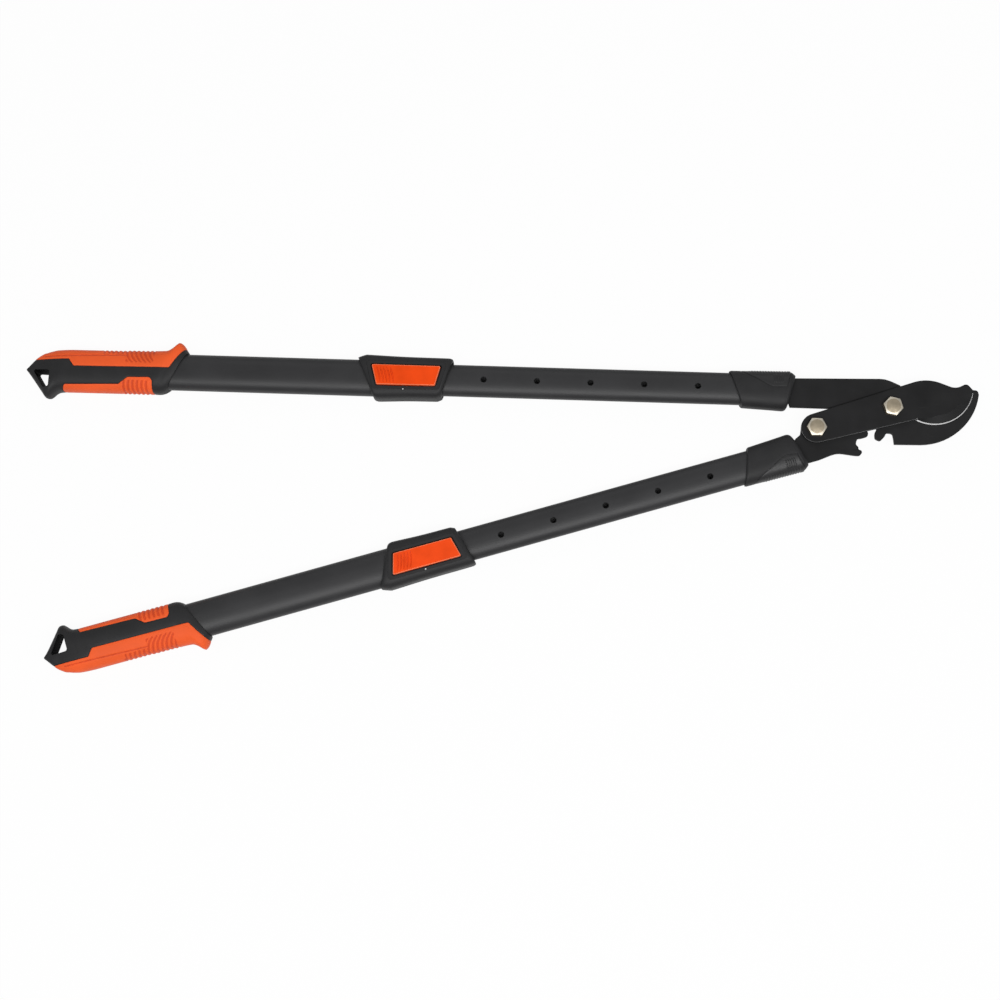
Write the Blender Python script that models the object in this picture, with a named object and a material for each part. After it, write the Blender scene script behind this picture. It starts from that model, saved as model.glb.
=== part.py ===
"""Telescopic geared bypass lopper, lying on its side with its jaws closed and its handles drawn out.

Lengths are metres and +Z is up. The origin is on the main pivot's axis, in the plane that the tool lies on.
+X runs along the upper arm towards the jaws, +Y towards the outer side of that arm.

The head has three steel plates. The blade plate carries two bolts: the main pivot, which joins it to the
hook plate of the upper arm, and the link bolt, which joins it to the tang of the lower arm. The hook plate
and the lower tang lie in one plane behind the blade and mesh with gear teeth between the two bolts.

Both arms are one design, mirrored. An arm is drawn in its own frame: s runs along the tubes towards the
head from the hole that the lock pin meets when the handle is drawn out, u runs to the arm's outer side,
and z is counted from the middle plane of the tubes.
"""

import math

import bmesh
import bpy
from mathutils import Matrix, Vector

MM = 0.001

# Clearances
GAP = 0.3 * MM  # between pieces that touch
BACKLASH = 0.18 * MM  # taken off each flank of a gear tooth

# Heights
MID_HEIGHT = 16.0 * MM  # tubes' middle plane above the ground
PLATE = 4.5 * MM  # thickness of each steel plate
EASE = 0.35 * MM  # broken edge of the plates

# Bolts
BOLT_DIAMETER = 12.0 * MM
BOLT_HEAD_FLATS = 18.0 * MM
BOLT_HEAD_HEIGHT = 6.5 * MM
WASHER_DIAMETER = 24.0 * MM
WASHER_THICKNESS = 1.5 * MM
NUT_HEIGHT = 9.8 * MM
PIVOT_HEAD_TURN = math.radians(-12)
LINK_HEAD_TURN = math.radians(0)

# Gear between the arms
CENTRE_DISTANCE = 82.6 * MM  # from the main pivot to the link bolt
CENTRE_LINE = math.radians(17.3)  # direction from the link bolt to the main pivot
HOOK_TEETH = 10  # of a full wheel, as are the tang's
TANG_TEETH = 15
PRESSURE_ANGLE = math.radians(25)
HOOK_ADDENDUM = 4.4 * MM
TANG_ADDENDUM = 5.2 * MM
ROOT_CLEARANCE = 0.7 * MM
TOOTH_TIP_RADIUS = 2.4 * MM
TOOTH_ROOT_RADIUS = 2.2 * MM
END_TOOTH_RADIUS = 2.8 * MM  # lower corner of the tang's outermost tooth
MESH_PHASE = math.radians(2.6)  # first tang tooth, below the centre line's far side

# Tubes
SECTION_POWER = 2.5  # of the tubes' flat oval, where 2 is an ellipse
TUBE_SIDES = 28
OUTER_WIDTH = 39.0 * MM
OUTER_THICKNESS = 22.4 * MM
OUTER_WALL = 1.2 * MM
OUTER_FRONT = 9.4 * MM
PLAY_ACROSS = 1.3 * MM  # between the tubes on each side
PLAY_UP = 0.8 * MM
INNER_WIDTH = OUTER_WIDTH - 2 * (OUTER_WALL + PLAY_ACROSS)
INNER_THICKNESS = OUTER_THICKNESS - 2 * (OUTER_WALL + PLAY_UP)
INNER_WALL = 1.2 * MM
INNER_REAR = -94.0 * MM
INNER_FRONT = 366.0 * MM
PIVOT_AHEAD = 118.5 * MM  # main pivot in front of the upper inner tube's end
LINK_AHEAD = 37.1 * MM  # link bolt in front of the lower inner tube's end
TANG_DEPTH = 54.0 * MM  # reach of both tangs into their tubes
FERRULE_DEPTH = 51.0 * MM  # reach of the ferrule behind the tube's end, on the outer side
FERRULE_SLANT = 13.1 * MM  # how much less it reaches on the inner side
HOLE_PITCH = 56.4 * MM
HOLE_COUNT = 6
HOLE_DIAMETER = 6.2 * MM
REAR_GUIDE_LENGTH = 12.0 * MM
REAR_GUIDE_SPIGOT = 14.0 * MM

# Arms
ARM_ANGLE = math.radians(17.7)  # between the two arms when the jaws are shut
PIVOT_S = INNER_FRONT + PIVOT_AHEAD  # main pivot in the upper arm's frame
PIVOT_U = -16.1 * MM
LINK_S = INNER_FRONT + LINK_AHEAD  # link bolt in the lower arm's frame
LINK_U = -19.7 * MM

# Tangs
TANG_OUTER_U = 13.0 * MM
TANG_INNER_U = -18.1 * MM
TANG_TUBE_U = -13.2 * MM  # inner edge inside the tube
TANG_STEP_S = INNER_FRONT + 11.5 * MM
TANG_REAR = INNER_FRONT - TANG_DEPTH
RIVET_DIAMETER = 5.0 * MM
RIVET_S = (INNER_FRONT - 42.0 * MM, INNER_FRONT - 14.0 * MM)

# Ferrule
FERRULE_REAR_OUTER = (INNER_FRONT - FERRULE_DEPTH, INNER_WIDTH / 2 + 1.4 * MM)
FERRULE_REAR_INNER = (INNER_FRONT - FERRULE_DEPTH + FERRULE_SLANT, -INNER_WIDTH / 2 - 2.2 * MM)
FERRULE_FRONT_OUTER = (INNER_FRONT + 18.4 * MM, INNER_WIDTH / 2 + 0.4 * MM)
FERRULE_FRONT_INNER = (INNER_FRONT + 8.4 * MM, -INNER_WIDTH / 2 - 2.7 * MM)
FERRULE_SWELL = 2.2 * MM
FERRULE_RIM = 4.0 * MM
FERRULE_TOP = INNER_THICKNESS / 2 + 3.2 * MM

# Lock
HOUSING_REAR_OUTER = (-77.3 * MM, OUTER_WIDTH / 2 + 1.2 * MM)
HOUSING_REAR_INNER = (-59.5 * MM, -OUTER_WIDTH / 2 - 1.2 * MM)
HOUSING_FRONT_OUTER = (22.6 * MM, OUTER_WIDTH / 2 + 1.0 * MM)
HOUSING_FRONT_INNER = (12.4 * MM, -OUTER_WIDTH / 2 - 1.0 * MM)
HOUSING_REAR_BULGE = 3.4 * MM
HOUSING_FRONT_BULGE = 1.7 * MM
HOUSING_REAR_SHOULDER = 7.0 * MM
HOUSING_FRONT_SHOULDER = 5.0 * MM
HOUSING_DROP = 2.6 * MM  # of the faces at the rims
HOUSING_TOP = OUTER_THICKNESS / 2 + 4.8 * MM
HOUSING_BOTTOM = OUTER_THICKNESS / 2 + 3.4 * MM
HOUSING_POWER = 3.4
LEVER_OUTER = (-61.8 * MM, 10.7 * MM, 11.2 * MM)  # rear s, front s, u
LEVER_INNER = (-55.9 * MM, 5.3 * MM, -9.7 * MM)
LEVER_TOP = OUTER_THICKNESS / 2 + 5.8 * MM
LEVER_KEEL = OUTER_THICKNESS / 2 + 0.6 * MM  # underside at the hinge
LEVER_TIP_THICKNESS = 2.2 * MM
LEVER_GAP = 1.3 * MM  # sunk frame around the lever
HINGE_S = -28.0 * MM
HINGE_Z = OUTER_THICKNESS / 2 + 2.7 * MM
HINGE_DIAMETER = 2.5 * MM
HINGE_LENGTH = 31.0 * MM
LOCK_PIN_DIAMETER = 4.8 * MM
SPRING_S = -49.0 * MM
SPRING_WIRE = 0.7 * MM
SPRING_DIAMETER = 6.0 * MM
SPRING_TURNS = 2.2
SEAT_DEPTH = 1.6 * MM  # roof left over the blind seats in the lever

# Grip
GRIP_THICKNESS = 32.0 * MM
GRIP_POWER = 2.8
GRIP_SIDES = 24
GRIP_BUTT_S = -432.6 * MM
GRIP_LENGTH = 172.0 * MM
PAD_THICKNESS = 2.2 * MM
OUTER_REAR = GRIP_BUTT_S + 0.2244 * GRIP_LENGTH  # the outer tube ends just in front of the hang hole

# Blade
BLADE_BOSS_RADIUS = 15.4 * MM
LOWER_BOSS_RADIUS = BLADE_BOSS_RADIUS - 0.6 * MM
BLADE_TOP_SLOPE = math.radians(19.5)
BLADE_BACK_SLOPE = math.radians(15.3)
BLADE_EDGE_CENTRE = (43.3 * MM, 25.2 * MM)
BLADE_EDGE_RADIUS = 41.9 * MM
BLADE_HEEL_ANGLE = math.radians(243.2)
BLADE_TIP_ANGLE = math.radians(352.4)
BLADE_CROWN = (36.3 * MM, 32.6 * MM, 42.0 * MM)
BLADE_DIP = (66.0 * MM, 21.9 * MM, 14.0 * MM)
BLADE_BEAK = (77.4 * MM, 27.9 * MM, 4.5 * MM)
BLADE_LAND = 0.5 * MM  # thickness left at the cutting edge
EDGE_BEVEL = 1.3 * MM  # width of the ground cutting bevel
EDGE_DROP = 1.5 * MM
EDGE_RUN = 3.0 * MM  # length in which the bevel grows from nothing at each end
BACK_BEVEL = 7.0 * MM  # width of the coated slope behind it
BACK_RUN = 22.0 * MM

# Hook
HOOK_BACK_CENTRE = (28.2 * MM, 25.2 * MM)
HOOK_BACK_RADIUS = 63.2 * MM
HOOK_BACK_TIP_ANGLE = math.radians(352.6)
HOOK_JAW_CENTRE = (47.1 * MM, 28.7 * MM)
HOOK_JAW_RADIUS = 37.7 * MM
HOOK_JAW_TIP_ANGLE = math.radians(350.0)
HOOK_JAW_ROOT_ANGLE = math.radians(186.0)
HOOK_HEEL = (3.0 * MM, -38.5 * MM)
HOOK_SHOULDER = (-6.0 * MM, 31.5 * MM, 26.0 * MM)
HOOK_TIP = (89.8 * MM, 21.9 * MM, 3.2 * MM)

# Worked out from the sizes above
PIVOT = Vector((0.0, 0.0))
LINK = Vector((-CENTRE_DISTANCE * math.cos(CENTRE_LINE), -CENTRE_DISTANCE * math.sin(CENTRE_LINE)))
HOOK_PITCH_RADIUS = CENTRE_DISTANCE * HOOK_TEETH / (HOOK_TEETH + TANG_TEETH)
TANG_PITCH_RADIUS = CENTRE_DISTANCE - HOOK_PITCH_RADIUS
HOOK_TIP_RADIUS = HOOK_PITCH_RADIUS + HOOK_ADDENDUM
TANG_TIP_RADIUS = TANG_PITCH_RADIUS + TANG_ADDENDUM
HOOK_ROOT_RADIUS = CENTRE_DISTANCE - TANG_TIP_RADIUS - ROOT_CLEARANCE
TANG_ROOT_RADIUS = CENTRE_DISTANCE - HOOK_TIP_RADIUS - ROOT_CLEARANCE
BLADE_BOTTOM = PLATE / 2 + GAP
BLADE_TOP = BLADE_BOTTOM + PLATE
ARC_STEP = math.radians(15)
SMALL_ARC_STEP = math.radians(30)


def clear_scene():
    for obj in list(bpy.data.objects):
        bpy.data.objects.remove(obj, do_unlink=True)


def material(name, colour, roughness, metallic=0.0):
    found = bpy.data.materials.get(name)
    if found:
        return found
    made = bpy.data.materials.new(name)
    made.use_nodes = True
    shader = made.node_tree.nodes["Principled BSDF"]
    shader.inputs["Base Color"].default_value = (*colour, 1.0)
    shader.inputs["Roughness"].default_value = roughness
    shader.inputs["Metallic"].default_value = metallic
    return made


def coated_tube():
    return material("coated_tube", (0.028, 0.028, 0.030), 0.42)


def coated_plate():
    return material("coated_plate", (0.014, 0.014, 0.015), 0.5)


def black_plastic():
    return material("black_plastic", (0.019, 0.019, 0.020), 0.45)


def orange_rubber():
    return material("orange_rubber", (0.80, 0.115, 0.03), 0.6)


def orange_plastic():
    return material("orange_plastic", (0.90, 0.09, 0.012), 0.4)


def plated_steel():
    return material("plated_steel", (0.55, 0.50, 0.42), 0.3, 1.0)


def bare_steel():
    return material("bare_steel", (0.5, 0.5, 0.5), 0.35, 1.0)


def nylon():
    return material("nylon", (0.04, 0.04, 0.042), 0.5)


def frame(name, x, y, z, turn=0.0, parent=None):
    """An empty that carries the pieces of one body and lies on its joint's axis."""
    empty = bpy.data.objects.new(name, None)
    empty.location = (x, y, z)
    empty.rotation_euler = (0.0, 0.0, turn)
    empty.parent = parent
    bpy.context.scene.collection.objects.link(empty)
    return empty


def piece(name, bm, parent, finish, location=(0.0, 0.0, 0.0), smooth=40):
    """Turn a bmesh into a named object with its material, and shade its round faces smooth."""
    bmesh.ops.recalc_face_normals(bm, faces=bm.faces)
    mesh = bpy.data.meshes.new(name)
    bm.to_mesh(mesh)
    bm.free()
    mesh.shade_smooth()
    mesh.set_sharp_from_angle(angle=math.radians(smooth))
    obj = bpy.data.objects.new(name, mesh)
    obj.location = location
    obj.parent = parent
    if finish:
        obj.data.materials.append(finish)
    bpy.context.scene.collection.objects.link(obj)
    return obj


def carve(obj, cutter_bm, operation="DIFFERENCE"):
    """Cut, intersect or join a shape that is given in the object's own frame; returns the guide object."""
    count = len(obj.modifiers)
    cutter = piece(f"{obj.name}.guide{count}", cutter_bm, obj, None)
    cutter.hide_render = True
    cutter.display_type = "WIRE"
    cut = obj.modifiers.new(f"{operation.lower()}_{count}", "BOOLEAN")
    cut.operation = operation
    cut.solver = "EXACT"
    cut.object = cutter
    return cutter


def ease_edges(obj, width, angle=50):
    bevel = obj.modifiers.new("eased_edges", "BEVEL")
    bevel.width = width
    bevel.segments = 1
    bevel.limit_method = "ANGLE"
    bevel.angle_limit = math.radians(angle)
    bevel.use_clamp_overlap = False


def polar(centre, radius, angle):
    return (centre[0] + radius * math.cos(angle), centre[1] + radius * math.sin(angle))


def arc(centre, radius, start, end, step=ARC_STEP):
    """Points on a circle from one angle to another, both ends included."""
    count = max(1, math.ceil(abs(end - start) / step))
    return [polar(centre, radius, start + (end - start) * i / count) for i in range(count + 1)]


def rounded(corners, step=ARC_STEP):
    """An outline from corners (x, y) or (x, y, radius), each radius drawn as an arc."""
    outline = []
    for i, corner in enumerate(corners):
        point = Vector(corner[:2])
        radius = corner[2] if len(corner) > 2 else 0.0
        back = Vector(corners[i - 1][:2]) - point
        ahead = Vector(corners[(i + 1) % len(corners)][:2]) - point
        turn = math.pi - back.angle(ahead)
        if radius <= 0.0 or turn < 0.01:
            outline.append(point)
            continue
        reach = min(radius * math.tan(turn / 2), 0.49 * back.length, 0.49 * ahead.length)
        radius = reach / math.tan(turn / 2)
        centre = point + (back.normalized() + ahead.normalized()).normalized() * math.hypot(radius, reach)
        start = point + back.normalized() * reach - centre
        end = point + ahead.normalized() * reach - centre
        sweep = start.angle_signed(end)
        coarse = step if radius > 3 * MM else max(step, SMALL_ARC_STEP)
        count = max(1, math.ceil(abs(sweep) / coarse))
        outline += [centre + Matrix.Rotation(-sweep * k / count, 2) @ start for k in range(count + 1)]
    return outline


def prism(outline, low, high):
    """A plate or block: an outline drawn upwards."""
    bm = bmesh.new()
    face = bm.faces.new([bm.verts.new((p[0], p[1], low)) for p in outline])
    grown = bmesh.ops.extrude_face_region(bm, geom=[face])["geom"]
    top = [v for v in grown if isinstance(v, bmesh.types.BMVert)]
    bmesh.ops.translate(bm, verts=top, vec=(0.0, 0.0, high - low))
    return bm


def side_prism(outline, low, high):
    """A block whose outline in s and z is drawn across from one u to another."""
    bm = prism(outline, low, high)
    bmesh.ops.rotate(bm, verts=bm.verts, matrix=Matrix.Rotation(math.pi / 2, 3, "X"))
    return bm


def turned(profile, segments=24):
    """A closed profile of (radius, height) spun about Z."""
    bm = bmesh.new()
    verts = [bm.verts.new((r, 0.0, z)) for r, z in profile]
    edges = [bm.edges.new((verts[i - 1], verts[i])) for i in range(len(verts))]
    bmesh.ops.spin(bm, geom=verts + edges, axis=(0, 0, 1), cent=(0, 0, 0), steps=segments,
                   angle=2 * math.pi, use_merge=True)
    bmesh.ops.remove_doubles(bm, verts=bm.verts, dist=1e-6)
    return bm


def rod(radius, low, high, segments=20, chamfer=0.0):
    """A round bar along Z."""
    bm = bmesh.new()
    bmesh.ops.create_cone(bm, cap_ends=True, segments=segments, radius1=radius, radius2=radius, depth=high - low)
    bmesh.ops.rotate(bm, verts=bm.verts, matrix=Matrix.Rotation(math.pi / 2 / segments, 3, "Z"))
    bmesh.ops.translate(bm, verts=bm.verts, vec=(0.0, 0.0, (low + high) / 2))
    if chamfer:
        rims = [e for e in bm.edges if abs(e.verts[0].co.z - e.verts[1].co.z) < 1e-9]
        bmesh.ops.bevel(bm, geom=rims, offset=chamfer, segments=1, affect="EDGES", profile=0.5, material=-1)
    return bm


def moved(bm, vec, turn=None):
    if turn:
        bmesh.ops.rotate(bm, verts=bm.verts, matrix=turn)
    bmesh.ops.translate(bm, verts=bm.verts, vec=vec)
    return bm


def oval(half_u, half_z, power=SECTION_POWER, sides=TUBE_SIDES):
    """The flat oval of a tube, as (u, z) points from the outer side round over the top."""
    points = []
    for i in range(sides):
        angle = 2 * math.pi * i / sides
        across = math.copysign(abs(math.cos(angle)) ** (2 / power), math.cos(angle))
        up = math.copysign(abs(math.sin(angle)) ** (2 / power), math.sin(angle))
        points.append((half_u * across, half_z * up))
    return points


def station(outer, inner, top, bottom, power, sides, inset=0.0):
    """One section of a moulding: it leans from its outer end (s, u) to its inner end (s, u)."""
    middle = (Vector(outer) + Vector(inner)) / 2
    half = (Vector(outer) - Vector(inner)) / 2
    scale = max(0.05, 1 - inset / half.length)
    ring = []
    for across, up in oval(1.0, 1.0, power, sides):
        plan = middle + half * across * scale
        reach = top if up > 0 else bottom
        ring.append(Vector((plan.x, plan.y, up * max(reach - inset, 0.001))))
    return ring


def skin(bm, rings, closed=False):
    """Join rings of equal counts by strips of faces; returns the rings' vertices."""
    loops = [[bm.verts.new(p) for p in ring] for ring in rings]
    pairs = zip(loops, loops[1:] + loops[:1] * closed)
    for first, second in pairs:
        for i in range(len(first)):
            bm.faces.new((first[i - 1], first[i], second[i], second[i - 1]))
    return loops


def loft(rings):
    """A solid through sections of equal counts, closed at both ends."""
    bm = bmesh.new()
    loops = skin(bm, rings)
    bm.faces.new(loops[0])
    bm.faces.new(loops[-1])
    return bm


def oval_ring(s, half_u, half_z, lean=0.0):
    return [Vector((s + lean * u, u, z)) for u, z in oval(half_u, half_z)]


def oval_bar(rear, front, half_u, half_z):
    return loft([oval_ring(rear, half_u, half_z), oval_ring(front, half_u, half_z)])


def pipe(rear, front, half_u, half_z, wall=0.0, bore=None, rear_lean=0.0, front_lean=0.0):
    """A length of oval tube, open at both ends, whose ends may be cut at a slant."""
    bore_u, bore_z = bore or (half_u - wall, half_z - wall)
    bm = bmesh.new()
    skin(bm, [oval_ring(rear, half_u, half_z, rear_lean), oval_ring(front, half_u, half_z, front_lean),
              oval_ring(front, bore_u, bore_z, front_lean), oval_ring(rear, bore_u, bore_z, rear_lean)], True)
    return bm


def half_oval(width, thickness, gap=0.0):
    return width / 2 + gap, thickness / 2 + gap


# Gear teeth


def involute(angle):
    return math.tan(angle) - angle


def tooth_half_angle(radius, pitch_radius, teeth):
    """Half the angle that an involute tooth fills at a radius, with its backlash taken off."""
    base = pitch_radius * math.cos(PRESSURE_ANGLE)
    at_pitch = math.pi / 2 / teeth - BACKLASH / pitch_radius
    if radius <= base:
        return at_pitch + involute(PRESSURE_ANGLE)
    return at_pitch + involute(PRESSURE_ANGLE) - involute(math.acos(base / radius))


def flank(centre, angle, side, root, tip, pitch_radius, teeth, steps=4):
    """One flank of a tooth from root to tip; side is -1 before the tooth's middle and 1 after it."""
    start = max(root + 1.1 * TOOTH_ROOT_RADIUS, pitch_radius * math.cos(PRESSURE_ANGLE))
    radii = [start + (tip - start) * i / steps for i in range(steps + 1)]
    points = [polar(centre, r, angle + side * tooth_half_angle(r, pitch_radius, teeth)) for r in radii]
    foot = polar(centre, root, angle + side * tooth_half_angle(root, pitch_radius, teeth))
    return [(*foot, TOOTH_ROOT_RADIUS)] + points[:-2] + [(*points[-1], TOOTH_TIP_RADIUS)]


def hook_tooth_angle(index):
    """Direction of a tooth of the hook from the main pivot; tooth 0 merges into the tang."""
    pitch = 2 * math.pi / HOOK_TEETH
    gap_on_line = -MESH_PHASE * TANG_PITCH_RADIUS / HOOK_PITCH_RADIUS
    return CENTRE_LINE + math.pi + gap_on_line + (index - 0.5) * pitch


def tang_tooth_angle(index):
    """Direction of a tooth of the lower tang from the link bolt; tooth 0 is nearest the centre line."""
    return CENTRE_LINE + MESH_PHASE - index * 2 * math.pi / TANG_TEETH


def hook_gear():
    """The hook's edge from the tang round to the jaw's heel, anticlockwise."""
    sizes = (HOOK_ROOT_RADIUS, HOOK_TIP_RADIUS, HOOK_PITCH_RADIUS, HOOK_TEETH)
    points = flank(PIVOT, hook_tooth_angle(0), 1, *sizes)[:-1][::-1]
    for index in (1, 2):
        angle = hook_tooth_angle(index)
        points += flank(PIVOT, angle, -1, *sizes)
        points += flank(PIVOT, angle, 1, *sizes)[::-1]
    last = flank(PIVOT, hook_tooth_angle(3), -1, *sizes)
    return points + last[:3]


def tang_gear():
    """The lower tang's toothed edge from its outermost tooth up to the one at the centre line."""
    sizes = (TANG_ROOT_RADIUS, TANG_TIP_RADIUS, TANG_PITCH_RADIUS, TANG_TEETH)
    points = []
    for index in (2, 1, 0):
        angle = tang_tooth_angle(index)
        lower = flank(LINK, angle, -1, *sizes)
        points += lower[-1:] if index == 2 else lower
        points += flank(LINK, angle, 1, *sizes)[::-1]
    return points


# Head


def hook_outline():
    back = arc(HOOK_BACK_CENTRE, HOOK_BACK_RADIUS, math.radians(-88), HOOK_BACK_TIP_ANGLE - 2 * math.pi, math.radians(6))
    jaw = arc(HOOK_JAW_CENTRE, HOOK_JAW_RADIUS, HOOK_JAW_TIP_ANGLE, HOOK_JAW_ROOT_ANGLE, math.radians(8))
    edge = TANG_INNER_U - PIVOT_U
    step = TANG_STEP_S - PIVOT_S
    rear = TANG_REAR - PIVOT_S
    corners = [(rear, TANG_TUBE_U - PIVOT_U), (step, TANG_TUBE_U - PIVOT_U), (step + 1.5 * MM, edge)]
    corners += [(-HOOK_TIP_RADIUS - 1.0 * MM, edge, 2.0 * MM)]
    corners += hook_gear() + [(*HOOK_HEEL, 0.6 * MM)]
    corners += back + [HOOK_TIP] + jaw[:-1] + [(*jaw[-1], 1.5 * MM)]
    corners += [HOOK_SHOULDER, (step, TANG_OUTER_U - PIVOT_U), (rear, TANG_OUTER_U - PIVOT_U)]
    return rounded(corners)


def lower_tang_outline():
    """Drawn in the lower arm's pivot frame, with the link bolt at the origin and y to the inner side."""
    turn = Matrix.Rotation(-ARM_ANGLE, 2)

    def to_arm(corner):
        placed = turn @ (Vector(corner[:2]) - LINK)
        return (placed.x, placed.y, *corner[2:])

    def at(s, u, radius=0.0):
        return (s - LINK_S, LINK_U - u, radius)

    gear = [to_arm(corner) for corner in tang_gear()]
    boss = arc((0.0, 0.0), LOWER_BOSS_RADIUS, math.radians(62), math.radians(165))
    corners = [at(TANG_REAR, TANG_OUTER_U), at(LINK_S - 6 * MM, TANG_OUTER_U, 30 * MM)]
    corners += [at(LINK_S + 14 * MM, TANG_OUTER_U - 2.2 * MM, 22 * MM)]
    corners += [(gear[0][0] - 1.4 * MM, gear[0][1] + 0.2 * MM, END_TOOTH_RADIUS)] + gear[1:]
    corners += [(TANG_ROOT_RADIUS * 0.55, LOWER_BOSS_RADIUS * 0.95, 12 * MM)]
    corners += boss + [at(LINK_S - LOWER_BOSS_RADIUS - 2 * MM, TANG_INNER_U, 2 * MM)]
    corners += [at(TANG_STEP_S + 2.5 * MM, TANG_TUBE_U - 2 * MM)]
    corners += [at(TANG_STEP_S, TANG_TUBE_U), at(TANG_REAR, TANG_TUBE_U)]
    return rounded(corners)


def blade_outline():
    """Corners of the blade plate, and for each of its points how far it lies along the cutting edge."""
    edge = arc(BLADE_EDGE_CENTRE, BLADE_EDGE_RADIUS, BLADE_HEEL_ANGLE, BLADE_TIP_ANGLE, math.radians(5))
    boss = arc(LINK, BLADE_BOSS_RADIUS, BLADE_TOP_SLOPE + math.pi / 2, BLADE_BACK_SLOPE + 1.5 * math.pi)
    back = rounded([(*edge[-1], 0.0), BLADE_BEAK, BLADE_DIP, BLADE_CROWN, (*boss[0], 0.0)])[1:-1]
    return [Vector(p) for p in edge], back + [Vector(p) for p in boss]


def blade_mesh():
    """Rings from the flat back face up to the front face; the cutting edge is drawn in by its bevels."""
    edge, rest = blade_outline()
    outline = edge + rest
    length = BLADE_EDGE_RADIUS * (BLADE_TIP_ANGLE - BLADE_HEEL_ANGLE)
    count = len(edge) - 1
    rings = [[], [], [], []]
    for i, point in enumerate(outline):
        along = (outline[(i + 1) % len(outline)] - outline[i - 1]).normalized()
        inward = Vector((-along.y, along.x))
        reach = min(i, count - i) / count * length if i <= count else 0.0
        ground = min(1.0, reach / EDGE_RUN)
        sloped = min(1.0, reach / BACK_RUN)
        heights = (0.0, PLATE / 2 + (BLADE_LAND - PLATE / 2) * ground,
                   PLATE - EASE + (BLADE_LAND + EDGE_DROP - PLATE + EASE) * ground, PLATE)
        insets = (0.0, 0.0, EDGE_BEVEL * ground, EASE + EDGE_BEVEL * ground + BACK_BEVEL * sloped)
        for ring, height, inset in zip(rings, heights, insets):
            flat = point + inward * inset
            ring.append(Vector((flat.x, flat.y, BLADE_BOTTOM + height)))
    return loft(rings)


def bolt_hole(centre=PIVOT):
    return moved(rod(BOLT_DIAMETER / 2 + GAP, -PLATE, BLADE_TOP + PLATE, 28), (centre[0], centre[1], 0.0))


def make_head(root, upper, lower):
    blade = piece("blade_plate", blade_mesh(), root, coated_plate(), smooth=20)
    carve(blade, bolt_hole())
    carve(blade, bolt_hole(LINK))
    hook = piece("hook_plate", prism(hook_outline(), -PLATE / 2, PLATE / 2), upper, coated_plate(), smooth=20)
    carve(hook, bolt_hole())
    tang = piece("lower_tang", prism(lower_tang_outline(), -PLATE / 2, PLATE / 2), lower, coated_plate(), smooth=20)
    carve(tang, bolt_hole())
    for name, centre, turn in (("pivot", PIVOT, PIVOT_HEAD_TURN), ("link", LINK, LINK_HEAD_TURN)):
        make_bolt(name, root, (centre[0], centre[1], 0.0), turn)
    return hook, tang


def hexagon(flats, low, high, turn, domed_low, domed_high):
    """A hexagonal head or nut whose corners are turned off at 30 degrees; returns its two shapes."""
    corner = flats / 2 / math.cos(math.pi / 6)
    block = prism([polar((0, 0), corner, turn + i * math.pi / 3) for i in range(6)], low - GAP, high + GAP)
    drop = (corner - flats / 2 * 0.97) * math.tan(math.radians(30))
    chamfer = flats / 2 * 0.97
    profile = [(0.0, low), (chamfer if domed_low else corner + GAP, low)]
    profile += [(corner + GAP, low + drop * domed_low), (corner + GAP, high - drop * domed_high)]
    profile += [(chamfer if domed_high else corner + GAP, high), (0.0, high)]
    tidy = [p for i, p in enumerate(profile) if p != profile[i - 1]]
    return block, turned(tidy, 36)


def make_bolt(name, parent, place, turn):
    """A hexagon bolt down through the plates, with a washer and a lock nut on the back."""
    head_low = BLADE_TOP + GAP
    bolt = piece(f"{name}_bolt", rod(BOLT_DIAMETER / 2, -MID_HEIGHT, head_low + BOLT_HEAD_HEIGHT / 2, 28, 0.8 * MM),
                 parent, plated_steel(), place, smooth=25)
    head, cone = hexagon(BOLT_HEAD_FLATS, head_low, head_low + BOLT_HEAD_HEIGHT, turn, False, True)
    guide = carve(bolt, head, "UNION")
    carve(guide, cone, "INTERSECT")
    washer_top = -PLATE / 2 - GAP
    washer_low = washer_top - WASHER_THICKNESS
    bore = BOLT_DIAMETER / 2 + GAP
    ring = [(bore, washer_low), (WASHER_DIAMETER / 2, washer_low), (WASHER_DIAMETER / 2, washer_top),
            (bore, washer_top)]
    piece(f"{name}_washer", turned(ring, 32), parent, plated_steel(), place)
    nut_top = washer_low - GAP
    block, cone = hexagon(BOLT_HEAD_FLATS, nut_top - NUT_HEIGHT, nut_top, turn + 0.4, True, False)
    nut = piece(f"{name}_nut", block, parent, plated_steel(), place, smooth=25)
    carve(nut, cone, "INTERSECT")
    carve(nut, rod(bore, -MID_HEIGHT, 0.0, 28))


# Arm pieces, drawn for the upper arm and mirrored for the lower


class Arm:
    """One arm: its frames, and how its pieces are named, mirrored and placed."""

    def __init__(self, name, side, pivot, pivot_s, pivot_u):
        self.name = name
        self.side = side
        self.pivot = pivot
        self.offset = Vector((-pivot_s, -side * pivot_u, 0.0))
        self.slide = frame(f"{name}_handle_slide", *self.offset, parent=pivot)

    def handed(self, bm):
        """Mirror a shape for the lower arm."""
        if self.side < 0:
            bmesh.ops.scale(bm, verts=bm.verts, vec=(1.0, -1.0, 1.0))
            bmesh.ops.reverse_faces(bm, faces=bm.faces)
        return bm

    def fixed(self, name, bm, finish, **options):
        """A piece that stays with the head."""
        return piece(f"{self.name}_{name}", self.handed(bm), self.pivot, finish, self.offset, **options)

    def sliding(self, name, bm, finish, location=(0.0, 0.0, 0.0), **options):
        """A piece of the telescopic handle."""
        return piece(f"{self.name}_{name}", self.handed(bm), self.slide, finish, location, **options)

    def carve(self, obj, bm, operation="DIFFERENCE"):
        return carve(obj, self.handed(bm), operation)


def rivet_bore(s, gap=GAP):
    return moved(rod(RIVET_DIAMETER / 2 + gap, -INNER_THICKNESS, INNER_THICKNESS, 18), (s, 0.0, 0.0))


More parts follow.
